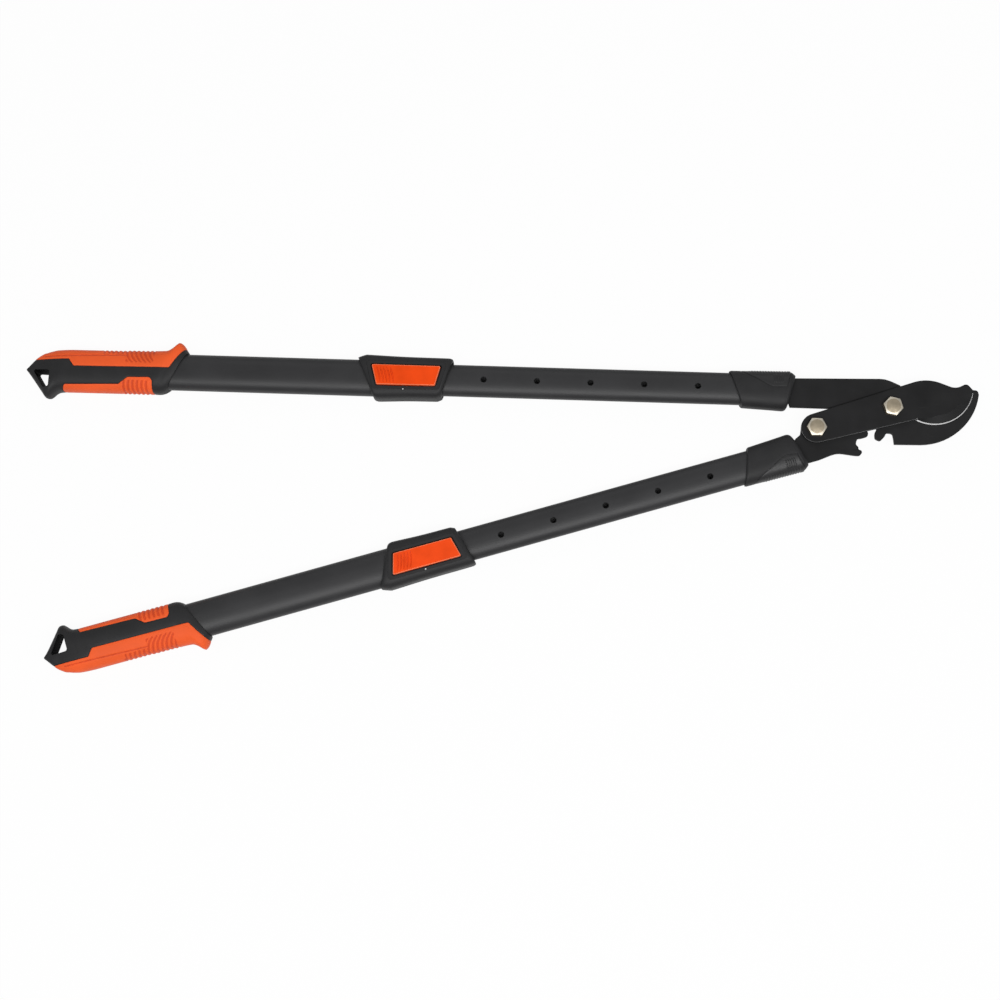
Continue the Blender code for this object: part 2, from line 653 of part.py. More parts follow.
def tang_slot(rear, front, gap=GAP):
    """The space of the tang's plate between the tube's edges, from one s to another."""
    outline = [(rear, TANG_INNER_U - gap), (front, TANG_INNER_U - gap),
               (front, TANG_OUTER_U + gap), (rear, TANG_OUTER_U + gap)]
    return prism(outline, -PLATE / 2 - gap, PLATE / 2 + gap)


def make_inner_tube(arm):
    half_u, half_z = half_oval(INNER_WIDTH, INNER_THICKNESS)
    tube = arm.fixed("inner_tube", pipe(INNER_REAR, INNER_FRONT, half_u, half_z, INNER_WALL), coated_tube())
    for index in range(HOLE_COUNT):
        hole = rod(HOLE_DIAMETER / 2, half_z - 3 * INNER_WALL, half_z + INNER_WALL, 16)
        arm.carve(tube, moved(hole, (index * HOLE_PITCH, 0.0, 0.0)))
    for s in RIVET_S:
        arm.carve(tube, rivet_bore(s))


def make_rear_guide(arm):
    """Plug in the rear end of the inner tube, whose collar runs in the outer tube."""
    bore_u, bore_z = half_oval(INNER_WIDTH, INNER_THICKNESS, -INNER_WALL - GAP)
    run_u, run_z = half_oval(OUTER_WIDTH, OUTER_THICKNESS, -OUTER_WALL - GAP)
    collar_front = INNER_REAR - GAP
    rings = [oval_ring(collar_front - REAR_GUIDE_LENGTH, run_u - 1 * MM, run_z - 1 * MM),
             oval_ring(collar_front - REAR_GUIDE_LENGTH + 1 * MM, run_u, run_z),
             oval_ring(collar_front, run_u, run_z), oval_ring(collar_front, bore_u, bore_z),
             oval_ring(INNER_REAR + REAR_GUIDE_SPIGOT, bore_u, bore_z)]
    arm.fixed("rear_guide", loft(rings), nylon())


def make_tang_insert(arm):
    """Moulded filler that holds the tang in the tube's front end."""
    half_u, half_z = half_oval(INNER_WIDTH, INNER_THICKNESS, -INNER_WALL - GAP)
    insert = arm.fixed("tang_insert", oval_bar(TANG_REAR - 6 * MM, INNER_FRONT - 1 * MM, half_u, half_z), nylon())
    outline = [(TANG_REAR - GAP, TANG_TUBE_U - GAP), (INNER_FRONT, TANG_TUBE_U - GAP),
               (INNER_FRONT, TANG_OUTER_U + GAP), (TANG_REAR - GAP, TANG_OUTER_U + GAP)]
    arm.carve(insert, prism(outline, -PLATE / 2 - GAP, PLATE / 2 + GAP))
    for s in RIVET_S:
        arm.carve(insert, rivet_bore(s))


def make_rivets(arm, tang):
    length = INNER_THICKNESS / 2 - 0.1 * MM
    for label, s in zip(("rear", "front"), RIVET_S):
        arm.fixed(f"tang_rivet_{label}", moved(rod(RIVET_DIAMETER / 2, -length, length, 18), (s, 0.0, 0.0)),
                  bare_steel())
        place = (arm.offset.x, arm.offset.y, 0.0)
        carve(tang, moved(rivet_bore(s), place))


def make_ferrule(arm):
    """Slanted plastic boot over the tube's end, closed in front around the tang."""
    def ends(rear_outer, rear_inner, grow, top):
        outer = (rear_outer[0], rear_outer[1] + grow)
        inner = (rear_inner[0], rear_inner[1] - grow)
        return station(outer, inner, top, top, GRIP_POWER, TUBE_SIDES)

    def between(share):
        outer = Vector(FERRULE_REAR_OUTER).lerp(Vector(FERRULE_FRONT_OUTER), share)
        inner = Vector(FERRULE_REAR_INNER).lerp(Vector(FERRULE_FRONT_INNER), share)
        return outer, inner

    rim = FERRULE_RIM / (FERRULE_FRONT_OUTER[0] - FERRULE_REAR_OUTER[0])
    plan = ((0.0, 0.0, FERRULE_TOP - 0.7 * MM), (0.03, 0.7 * MM, FERRULE_TOP),
            (0.5, FERRULE_SWELL * 0.7, FERRULE_TOP + 0.2 * MM), (1 - 2 * rim, FERRULE_SWELL, FERRULE_TOP + 0.4 * MM),
            (1 - rim, FERRULE_SWELL + 0.8 * MM, FERRULE_TOP + 0.4 * MM), (1.0, -1.6 * MM, FERRULE_TOP - 3.4 * MM))
    ferrule = arm.fixed("ferrule", loft([ends(*between(share), grow, top) for share, grow, top in plan]),
                        black_plastic())
    half_u, half_z = half_oval(INNER_WIDTH, INNER_THICKNESS, GAP)
    arm.carve(ferrule, oval_bar(INNER_REAR, INNER_FRONT + GAP, half_u, half_z))
    arm.carve(ferrule, tang_slot(INNER_FRONT - 20 * MM, FERRULE_FRONT_OUTER[0] + 10 * MM))


def make_outer_tube(arm):
    half_u, half_z = half_oval(OUTER_WIDTH, OUTER_THICKNESS)
    tube = arm.sliding("outer_tube", pipe(OUTER_REAR, OUTER_FRONT, half_u, half_z, OUTER_WALL), coated_tube())
    hole = rod(LOCK_PIN_DIAMETER / 2 + 1.5 * MM, half_z - 3 * OUTER_WALL, half_z + OUTER_WALL, 20)
    arm.carve(tube, hole)


def make_front_bush(arm):
    """Ring in the lock's mouth that guides the inner tube."""
    lean = (HOUSING_FRONT_OUTER[0] - HOUSING_FRONT_INNER[0]) / (HOUSING_FRONT_OUTER[1] - HOUSING_FRONT_INNER[1])
    front = (HOUSING_FRONT_OUTER[0] + HOUSING_FRONT_INNER[0]) / 2 - 1 * MM
    outside = half_oval(OUTER_WIDTH, OUTER_THICKNESS)
    bore = half_oval(INNER_WIDTH, INNER_THICKNESS, GAP)
    arm.sliding("front_bush", pipe(OUTER_FRONT + GAP, front, *outside, bore=bore, front_lean=lean), nylon())


def lever_plan(grow=0.0):
    """The lever's trapezoid, grown on every side."""
    (outer_rear, outer_front, outer_u), (inner_rear, inner_front, inner_u) = LEVER_OUTER, LEVER_INNER
    corners = [(inner_rear - grow, inner_u - grow), (inner_front + grow, inner_u - grow),
               (outer_front + grow * 1.6, outer_u + grow), (outer_rear - grow * 1.6, outer_u + grow)]
    return rounded([(*corner, 1.4 * MM + grow) for corner in corners], math.radians(30))


def make_lock_housing(arm):
    """Slanted moulding over the outer tube's front end, with a sunk frame for the lever."""
    rear = (Vector(HOUSING_REAR_OUTER), Vector(HOUSING_REAR_INNER))
    front = (Vector(HOUSING_FRONT_OUTER), Vector(HOUSING_FRONT_INNER))

    def section(ends, shift, grow, drop):
        outer = ends[0] + Vector((shift, grow))
        inner = ends[1] + Vector((shift, -grow))
        return station(outer, inner, HOUSING_TOP - drop, HOUSING_BOTTOM - drop, HOUSING_POWER, TUBE_SIDES)

    def shoulder(ends, bulge, inwards):
        turns = (math.radians(a) for a in (0, 45, 90))
        return [section(ends, inwards * (1 - math.cos(a)), bulge * math.sin(a), HOUSING_DROP * (1 - math.sin(a)))
                for a in turns]

    middle = tuple((a + b) / 2 for a, b in zip(rear, front))
    waist = section(middle, 0.0, (HOUSING_REAR_BULGE + HOUSING_FRONT_BULGE) / 2 - 0.5 * MM, 0.0)
    rings = shoulder(rear, HOUSING_REAR_BULGE, HOUSING_REAR_SHOULDER) + [waist]
    rings += shoulder(front, HOUSING_FRONT_BULGE, -HOUSING_FRONT_SHOULDER)[::-1]
    housing = arm.sliding("lock_housing", loft(rings), black_plastic())
    half_u, half_z = half_oval(OUTER_WIDTH, OUTER_THICKNESS, GAP)
    reach = OUTER_WIDTH
    arm.carve(housing, oval_bar(HOUSING_REAR_OUTER[0] - reach, HOUSING_FRONT_OUTER[0] + reach, half_u, half_z))
    arm.carve(housing, prism(lever_plan(LEVER_GAP), 0.0, HOUSING_TOP + reach))
    arm.carve(housing, hinge_bar(GAP))


def hinge_bar(gap=0.0):
    """The hinge pin across the arm, in the handle's frame."""
    bar = rod(HINGE_DIAMETER / 2 + gap, -HINGE_LENGTH / 2 - gap, HINGE_LENGTH / 2 + gap, 16)
    return moved(bar, (HINGE_S, 0.0, HINGE_Z), Matrix.Rotation(math.pi / 2, 3, "X"))


def make_lever(arm):
    """Rocking release lever with its pins; its ribbed rear end is pressed."""
    to_hinge = (-HINGE_S, 0.0, -HINGE_Z)
    place = (HINGE_S, 0.0, HINGE_Z)
    tip_low = LEVER_TOP - LEVER_TIP_THICKNESS
    keel = 6 * MM
    reach = 4 * MM
    profile = [(LEVER_OUTER[0] - reach, tip_low), (HINGE_S - keel, LEVER_KEEL), (HINGE_S + keel, LEVER_KEEL),
               (LEVER_OUTER[1] + reach, tip_low), (LEVER_OUTER[1] + reach, LEVER_TOP),
               (LEVER_OUTER[0] - reach, LEVER_TOP)]
    lever = arm.sliding("lock_lever", moved(side_prism(profile, -20 * MM, 20 * MM), to_hinge), orange_plastic(),
                        place)
    arm.carve(lever, moved(prism(lever_plan(), 0.0, LEVER_TOP + 10 * MM), to_hinge), "INTERSECT")
    arm.carve(lever, moved(hinge_bar(GAP), to_hinge))
    roof = LEVER_TOP - SEAT_DEPTH
    for s, radius in ((0.0, LOCK_PIN_DIAMETER / 2 + GAP), (SPRING_S, SPRING_DIAMETER / 2 + 2 * GAP)):
        seat = rod(radius, 0.0, roof, 18)
        arm.carve(lever, moved(seat, (s - HINGE_S, 0.0, -HINGE_Z)))
    arm.sliding("lever_pin", moved(hinge_bar(), to_hinge), bare_steel(), place)
    tip = INNER_THICKNESS / 2 + GAP
    pin = rod(LOCK_PIN_DIAMETER / 2, tip, roof - GAP, 18, 0.5 * MM)
    arm.sliding("lock_pin", moved(pin, to_hinge), bare_steel(), place)


def coil_points(count):
    """Points along the lever spring's wire in the handle's frame."""
    low = OUTER_THICKNESS / 2 + GAP + SPRING_WIRE / 2
    high = LEVER_TOP - SEAT_DEPTH - GAP - SPRING_WIRE / 2
    radius = (SPRING_DIAMETER - SPRING_WIRE) / 2
    return [Vector((*polar((SPRING_S, 0.0), radius, 2 * math.pi * SPRING_TURNS * i / count),
                    low + (high - low) * i / count)) for i in range(count + 1)]


def coil_gap(per_turn=48):
    """Least clear distance between two turns of the spring, measured on points at least half a turn apart."""
    points = coil_points(round(SPRING_TURNS * per_turn))
    return min((a - b).length for i, a in enumerate(points) for b in points[i + per_turn // 2:]) - SPRING_WIRE


def make_spring(arm):
    """Compression spring between the outer tube and the rear of the lever: one open wire."""
    count = round(SPRING_TURNS * 10)
    curve = bpy.data.curves.new(f"{arm.name}_lever_spring", "CURVE")
    curve.dimensions = "3D"
    curve.bevel_depth = SPRING_WIRE / 2
    curve.bevel_resolution = 1
    curve.use_fill_caps = True
    spline = curve.splines.new("POLY")
    spline.points.add(count)
    for i, point in enumerate(coil_points(count)):
        spline.points[i].co = (*point, 1.0)
    spring = bpy.data.objects.new(f"{arm.name}_lever_spring", curve)
    spring.parent = arm.slide
    curve.materials.append(bare_steel())
    bpy.context.scene.collection.objects.link(spring)


# Grip, in hundredths of its length from the butt. Stations run from the butt to the guard, each with its outer
# end (s, u), its inner end (s, u) and its share of the full thickness.
GRIP_STATIONS = (
    ((0.0, -1.4), (0.5, -3.3), 0.56),
    ((5.3, 5.6), (5.0, -9.2), 0.69),
    ((9.3, 8.7), (9.5, -15.1), 0.76),
    ((12.9, 10.3), (12.4, -18.8), 0.84),
    ((17.8, 11.6), (15.0, -18.9), 0.91),
    ((22.7, 12.0), (18.2, -15.8), 0.96),
    ((28.3, 12.2), (22.5, -14.5), 1.0),
    ((48.0, 12.3), (47.4, -14.3), 1.0),
    ((74.2, 12.5), (66.6, -14.2), 1.0),
    ((87.0, 13.1), (77.1, -14.2), 1.0),
    ((90.8, 15.2), (80.3, -14.2), 0.99),
    ((94.3, 18.4), (82.6, -14.3), 0.97),
    ((96.5, 17.3), (84.4, -14.1), 0.95),
    ((98.4, 14.7), (86.3, -13.5), 0.9),
    ((100.0, 12.2), (88.1, -12.4), 0.82),
)

# Edges of the two soft pads and of the hang hole in plan, s, u and corner radius
OUTER_PAD_SEAM = (
    (6.5, 4.2, 0.6), (27.2, 4.8, 1.2), (30.6, 0.3, 1.2), (89.8, 1.0, 1.2), (93.6, 7.0, 3.5),
    (99.8, 16.0, 0.6), (99.8, 34.9, 0.0), (-4.3, 34.9, 0.0), (-4.3, 4.2, 0.0),
)
INNER_PAD_SEAM = (
    (22.2, -34.9, 0.0), (22.8, -15.7, 1.2), (25.1, -12.0, 1.2), (59.1, -11.0, 1.2), (64.7, -6.0, 1.2),
    (78.5, -5.7, 1.7), (80.2, -7.8, 1.7), (81.4, -34.9, 0.0),
)
HANG_HOLE = (
    (4.4, -2.3, 1.0), (15.6, -2.4, 1.4), (15.2, -12.6, 1.4), (11.8, -13.6, 1.0),
)


def on_grip(corners):
    """Turn points of the grip's tables into metres in the handle's frame."""
    unit = GRIP_LENGTH / 100
    return [(GRIP_BUTT_S + corner[0] * unit, *(value * unit for value in corner[1:])) for corner in corners]


def grown(outline, distance):
    """Move every point of an outline outwards by a distance."""
    turning = sum(a.x * b.y - b.x * a.y for a, b in zip(outline, outline[1:] + outline[:1]))
    sense = math.copysign(1.0, turning)
    result = []
    for i, point in enumerate(outline):
        along = (point - outline[i - 1]).normalized()
        ahead = (outline[(i + 1) % len(outline)] - point).normalized()
        normal = Vector((along.y + ahead.y, -along.x - ahead.x)).normalized() * sense
        result.append(point + normal * distance / max(0.5, normal.dot(Vector((along.y, -along.x)) * sense)))
    return result


def grip_body(inset=0.0):
    """The whole grip's outer form, or the same form drawn in on all sides."""
    rings = []
    for outer, inner, share in GRIP_STATIONS:
        top = share * GRIP_THICKNESS / 2
        outer, inner = on_grip((outer, inner))
        rings.append(station(outer, inner, top, top, GRIP_POWER, GRIP_SIDES, inset))
    return loft(rings)


def tube_space(gap=GAP):
    half_u, half_z = half_oval(OUTER_WIDTH, OUTER_THICKNESS, gap)
    return oval_bar(OUTER_REAR - gap, OUTER_FRONT, half_u, half_z)


def make_grip(arm):
    """Hard core with a hang hole and two soft pads let into its outside."""
    core = arm.sliding("grip_core", grip_body(), black_plastic())
    for name, seam in (("outer_pad", OUTER_PAD_SEAM), ("inner_pad", INNER_PAD_SEAM)):
        outline = rounded(on_grip(seam), math.radians(30))
        height = GRIP_THICKNESS
        pocket = arm.carve(core, prism(grown(outline, GAP), -height, height))
        arm.carve(pocket, grip_body(PAD_THICKNESS + GAP))
        pad = arm.sliding(f"grip_{name}", grip_body(), orange_rubber())
        arm.carve(pad, prism(outline, -height, height), "INTERSECT")
        arm.carve(pad, grip_body(PAD_THICKNESS))
        arm.carve(pad, tube_space())
    arm.carve(core, tube_space())
    arm.carve(core, prism(rounded(on_grip(HANG_HOLE), math.radians(30)), -GRIP_THICKNESS, GRIP_THICKNESS))


def make_arm(arm, tang):
    make_inner_tube(arm)
    make_rear_guide(arm)
    make_tang_insert(arm)
    make_rivets(arm, tang)
    make_ferrule(arm)
    make_outer_tube(arm)
    make_front_bush(arm)
    make_lock_housing(arm)
    make_lever(arm)
    make_spring(arm)
    make_grip(arm)


def build():
    clear_scene()
    root = frame("blade_frame", 0.0, 0.0, MID_HEIGHT)
    upper_pivot = frame("upper_arm_pivot", 0.0, 0.0, MID_HEIGHT)
    lower_pivot = frame("lower_arm_pivot", LINK.x, LINK.y, MID_HEIGHT, ARM_ANGLE)
    hook, lower_tang = make_head(root, upper_pivot, lower_pivot)
    make_arm(Arm("upper", 1, upper_pivot, PIVOT_S, PIVOT_U), hook)
    make_arm(Arm("lower", -1, lower_pivot, LINK_S, LINK_U), lower_tang)
    for plate in (hook, lower_tang):
        ease_edges(plate, EASE)
    print(f"least gap between turns of the lever springs: {coil_gap() / MM:.2f} mm")


build()
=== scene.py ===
"""Looks of a telescopic geared lopper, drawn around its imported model.

The sections follow the tool as it is put together: plates, bolts, tubes, ferrules, locks and grips. Pieces
of an arm are drawn once, in the arm's own frame, and placed on both arms: s runs along the tubes towards the
head from the lock hole, u runs to the arm's outer side, and z is counted from the tubes' middle plane.
"""

import math

import bmesh
import bpy
import numpy as np
from mathutils import Matrix, Vector


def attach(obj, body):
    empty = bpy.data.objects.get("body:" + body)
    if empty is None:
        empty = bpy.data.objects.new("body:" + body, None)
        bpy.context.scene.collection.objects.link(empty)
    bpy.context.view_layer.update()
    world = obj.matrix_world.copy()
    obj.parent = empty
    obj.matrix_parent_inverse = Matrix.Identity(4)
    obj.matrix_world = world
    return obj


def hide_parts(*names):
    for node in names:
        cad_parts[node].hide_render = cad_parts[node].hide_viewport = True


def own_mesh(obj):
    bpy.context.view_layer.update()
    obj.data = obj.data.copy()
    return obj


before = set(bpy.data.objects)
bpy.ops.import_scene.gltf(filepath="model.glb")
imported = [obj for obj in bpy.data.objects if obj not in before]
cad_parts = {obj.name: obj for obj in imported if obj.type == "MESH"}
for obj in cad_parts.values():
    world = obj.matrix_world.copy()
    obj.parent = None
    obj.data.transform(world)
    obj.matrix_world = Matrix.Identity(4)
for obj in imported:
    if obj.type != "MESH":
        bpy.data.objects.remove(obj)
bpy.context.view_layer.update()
MM = 0.001


# Blade. A thick steel plate: a long straight carrier with a round end, and a convex blade in front. It is
# stamped, coated near black all over, and ground bright along the cutting edge last.

MID_HEIGHT = 16 * MM  # tubes' middle plane above the ground
PLATE = 4.5 * MM
PLATE_GAP = 0.3 * MM
BLADE_BOTTOM = PLATE / 2 + PLATE_GAP
BOLT_SPACING = 82.6 * MM
BOLT_LINE = math.radians(17.3)
PIVOT = Vector((0.0, 0.0))
LINK = Vector((-BOLT_SPACING * math.cos(BOLT_LINE), -BOLT_SPACING * math.sin(BOLT_LINE)))
BOLT_DIAMETER = 12 * MM
BORE_RADIUS = BOLT_DIAMETER / 2 + PLATE_GAP
EDGE_CENTRE = Vector((43.3 * MM, 25.2 * MM))
EDGE_RADIUS = 41.9 * MM
HEEL_ANGLE = math.radians(243.2)
TIP_ANGLE = math.radians(352.4)
BEAK, BEAK_RADIUS = (77.4 * MM, 27.9 * MM), 4.5 * MM
DIP, DIP_RADIUS = (66.0 * MM, 21.9 * MM), 14 * MM
CROWN, CROWN_RADIUS = (36.3 * MM, 32.6 * MM), 42 * MM
BOSS_RADIUS = 15.4 * MM
BOSS_ANGLES = (math.radians(109.5), math.radians(285.3))
EASED = 0.7 * MM  # broken edge of the plate
LAND = 0.5 * MM  # thickness left at the cutting edge
GROUND_WIDTH = 0.8 * MM
GROUND_RISE = 1.5 * MM
GROUND_RUN = 1.5 * MM  # length over which the ground edge starts at either end
SLOPE_WIDTH = 7.0 * MM  # hollow behind the ground edge
SLOPE_RUN = 22 * MM
NEAR_BLACK = (0.0135, 0.0135, 0.014)
HAIRLINE_BLACK = (0.06, 0.06, 0.06)
NEAR_CHAMFER_HIGHLIGHT = (0.2, 0.2, 0.203)  # lighter grey painted on the upper chamfers that face the near lamp, a painted highlight
BRIGHT_STEEL = (1.0, 1.0, 0.99)
GRINDING_LINE = (0.6, 0.6, 0.59)


def swept(bm, centre, radius, start, end, step):
    """Points along an arc, spun from its first point."""
    first = bm.verts.new((centre[0] + radius * math.cos(start), centre[1] + radius * math.sin(start), 0.0))
    known = len(bm.verts)
    bmesh.ops.spin(bm, geom=[first], cent=(centre[0], centre[1], 0.0), axis=(0, 0, 1), angle=end - start,
                   steps=max(1, math.ceil(abs(end - start) / step)))
    bm.verts.ensure_lookup_table()
    return [first] + bm.verts[known:]


def filleted(bm, before, point, after, radius, step=math.radians(5)):
    """Points of a rounded corner between two neighbours."""
    point = Vector(point)
    back = (Vector(before) - point).normalized()
    ahead = (Vector(after) - point).normalized()
    reach = radius * math.tan((math.pi - back.angle(ahead)) / 2)
    centre = point + (back + ahead).normalized() * math.hypot(radius, reach)
    start = point + back * reach - centre
    turn = -start.angle_signed(point + ahead * reach - centre)
    angle = math.atan2(start.y, start.x)
    return swept(bm, centre, radius, angle, angle + turn, step)


def raised(bm, face, height):
    """Draw a face upwards and return the new one; a face already joined to others leaves nothing behind."""
    inside = any(len(edge.link_faces) > 1 for edge in face.edges)
    grown = bmesh.ops.extrude_face_region(bm, geom=[face])["geom"]
    if inside:
        bmesh.ops.delete(bm, geom=[face], context="FACES_ONLY")
    top = next(part for part in grown if isinstance(part, bmesh.types.BMFace))
    bmesh.ops.translate(bm, verts=top.verts[:], vec=(0.0, 0.0, height))
    return top


def spun(profile, steps=72):
    """A closed profile of (radius, height) turned about Z."""
    bm = bmesh.new()
    points = [bm.verts.new((radius, 0.0, height)) for radius, height in profile]
    lines = [bm.edges.new((points[i - 1], points[i])) for i in range(len(points))]
    bmesh.ops.spin(bm, geom=points + lines, axis=(0, 0, 1), cent=(0, 0, 0), steps=steps, angle=2 * math.pi,
                   use_merge=True)
    bmesh.ops.remove_doubles(bm, verts=bm.verts, dist=1e-6)
    return bm


def moved(bm, way):
    """A shape pushed along, and handed back."""
    bmesh.ops.translate(bm, verts=bm.verts, vec=way)
    return bm


def rod(radius, low, high, centre=PIVOT, steps=48):
    """A round bar, drawn upright."""
    return moved(spun([(0.0, low), (radius, low), (radius, high), (0.0, high)], steps), (*centre, 0.0))


def placed(name, data):
    """Put a mesh, a lamp or the camera in the scene."""
    obj = bpy.data.objects.new(name, data)
    bpy.context.scene.collection.objects.link(obj)
    return obj


def combined(bm, other, operation):
    """A shape with another cut away from it, joined to it, or kept where the two meet."""
    work = []
    for shape in (bm, other):
        bmesh.ops.recalc_face_normals(shape, faces=shape.faces)
        mesh = bpy.data.meshes.new("work")
        shape.to_mesh(mesh)
        shape.free()
        work.append(placed("work", mesh))
    both = work[0].modifiers.new("both", "BOOLEAN")
    both.operation, both.solver, both.object = operation, "EXACT", work[1]
    result = bmesh.new()
    result.from_object(work[0], bpy.context.evaluated_depsgraph_get())
    for obj in work:
        mesh = obj.data
        bpy.data.objects.remove(obj)
        bpy.data.meshes.remove(mesh)
    bmesh.ops.dissolve_degenerate(result, edges=result.edges, dist=1e-6)
    return result


def cut(bm, *cutters):
    """A shape with others cut away from it, one after the other."""
    for cutter in cutters:
        bm = combined(bm, cutter, "DIFFERENCE")
    return bm


def node(tree, kind, inputs, **settings):
    """Add a shader node; an input is a value or another node's output."""
    made = tree.nodes.new(kind)
    for key, value in settings.items():
        setattr(made, key, value)
    for key, value in inputs.items():
        if isinstance(value, bpy.types.NodeSocket):
            tree.links.new(value, made.inputs[key])
        else:
            made.inputs[key].default_value = value
    return made


def object_place(tree):
    return node(tree, "ShaderNodeTexCoord", {}).outputs["Object"]


def spread(tree, value, low, high, start=0.0, end=1.0):
    """A value that runs from start to end, spread from low to high."""
    ends = {"From Min": start, "From Max": end, "To Min": low, "To Max": high}
    return node(tree, "ShaderNodeMapRange", {"Value": value, **ends}).outputs["Result"]


def surface(name, colour, roughness, grain, height, metallic=0.0, cloud=0.15, cloud_size=25 * MM, shine=0.5):
    """A material with soft patches in its colour and gloss and a fine grain, with its tree and its shader."""
    made = bpy.data.materials.new(name)
    made.use_nodes = True
    tree = made.node_tree
    shader = tree.nodes["Principled BSDF"]
    place = object_place(tree)
    patches = node(tree, "ShaderNodeTexNoise", {"Vector": place, "Scale": 1 / cloud_size, "Detail": 4.0})
    shade = node(tree, "ShaderNodeValToRGB", {"Fac": patches.outputs["Fac"]})
    for stop, share in zip(shade.color_ramp.elements, (1 - cloud, 1 + cloud)):
        stop.position = 0.5 + (share - 1) / cloud * 0.2
        stop.color = (*(min(1.0, part * share) for part in colour), 1.0)
    gloss = spread(tree, patches.outputs["Fac"], roughness * 0.93, roughness * 1.07, 0.3, 0.7)
    pebbles = node(tree, "ShaderNodeTexNoise", {"Vector": place, "Scale": 1 / grain, "Detail": 3.0})
    relief = node(tree, "ShaderNodeBump", {"Height": pebbles.outputs["Fac"], "Strength": 1.0,
                                           "Distance": height})
    shader.inputs["Metallic"].default_value = metallic
    shader.inputs["Specular IOR Level"].default_value = shine
    tree.links.new(shade.outputs["Color"], shader.inputs["Base Color"])
    tree.links.new(gloss, shader.inputs["Roughness"])
    tree.links.new(relief.outputs["Normal"], shader.inputs["Normal"])
    return made, tree, shader


def lighten(tree, shader, mask, colour):
    """Let another colour show where a mask is high."""
    under = shader.inputs["Base Color"].links[0].from_socket
    mixed = node(tree, "ShaderNodeMixRGB", {"Fac": mask, "Color1": under, "Color2": (*colour, 1.0)})
    tree.links.new(mixed.outputs["Color"], shader.inputs["Base Color"])


def coated_steel():
    """Near-black dip coat with a dry, even face and a few rubbed hairlines."""
    made, tree, shader = surface("coated_steel", NEAR_BLACK, 0.52, 0.5 * MM, 0.012 * MM, 0.0, 0.2, shine=0.15)
    along = node(tree, "ShaderNodeMapping", {"Vector": object_place(tree), "Rotation": (0.0, 0.0, 0.35),
                                             "Scale": (60, 1400, 300)})
    hairs = node(tree, "ShaderNodeTexNoise", {"Vector": along.outputs["Vector"], "Scale": 1.0, "Detail": 2.0})
    lighten(tree, shader, spread(tree, hairs.outputs["Fac"], 0.0, 0.3, 0.68, 0.8), HAIRLINE_BLACK)
    return made


def ground_steel():
    """Bare steel with fine lines across the cutting edge, as the grinding wheel leaves them."""
    made, tree, shader = surface("ground_steel", BRIGHT_STEEL, 0.4, 0.2 * MM, 0.004 * MM, 0.1, 0.04)
    across = node(tree, "ShaderNodeVectorMath", {0: object_place(tree), 1: (*EDGE_CENTRE, 0.0)},
                  operation="SUBTRACT")
    round_edge = node(tree, "ShaderNodeVectorMath", {0: across.outputs["Vector"]}, operation="NORMALIZE")
    lines = node(tree, "ShaderNodeTexNoise", {"Vector": round_edge.outputs["Vector"], "Scale": 260.0,
                                              "Detail": 2.0})
    lighten(tree, shader, spread(tree, lines.outputs["Fac"], 0.0, 0.35), GRINDING_LINE)
    return made


def finished(name, bm, body, nodes, slot, *finishes, sharp=35):
    """Make a shape into a shown piece that rides on a body and stands for CAD nodes."""
    bmesh.ops.remove_doubles(bm, verts=bm.verts, dist=1e-6)
    bmesh.ops.recalc_face_normals(bm, faces=bm.faces)
    mesh = bpy.data.meshes.new(name)
    bm.to_mesh(mesh)
    bm.free()
    for finish in finishes:
        mesh.materials.append(finish)
    mesh.shade_smooth()
    mesh.set_sharp_from_angle(angle=math.radians(sharp))
    obj = placed(name, mesh)
    obj.modifiers.new("even_shading", "WEIGHTED_NORMAL").keep_sharp = True
    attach(obj, body)
    if nodes:
        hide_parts(*nodes)
    return obj


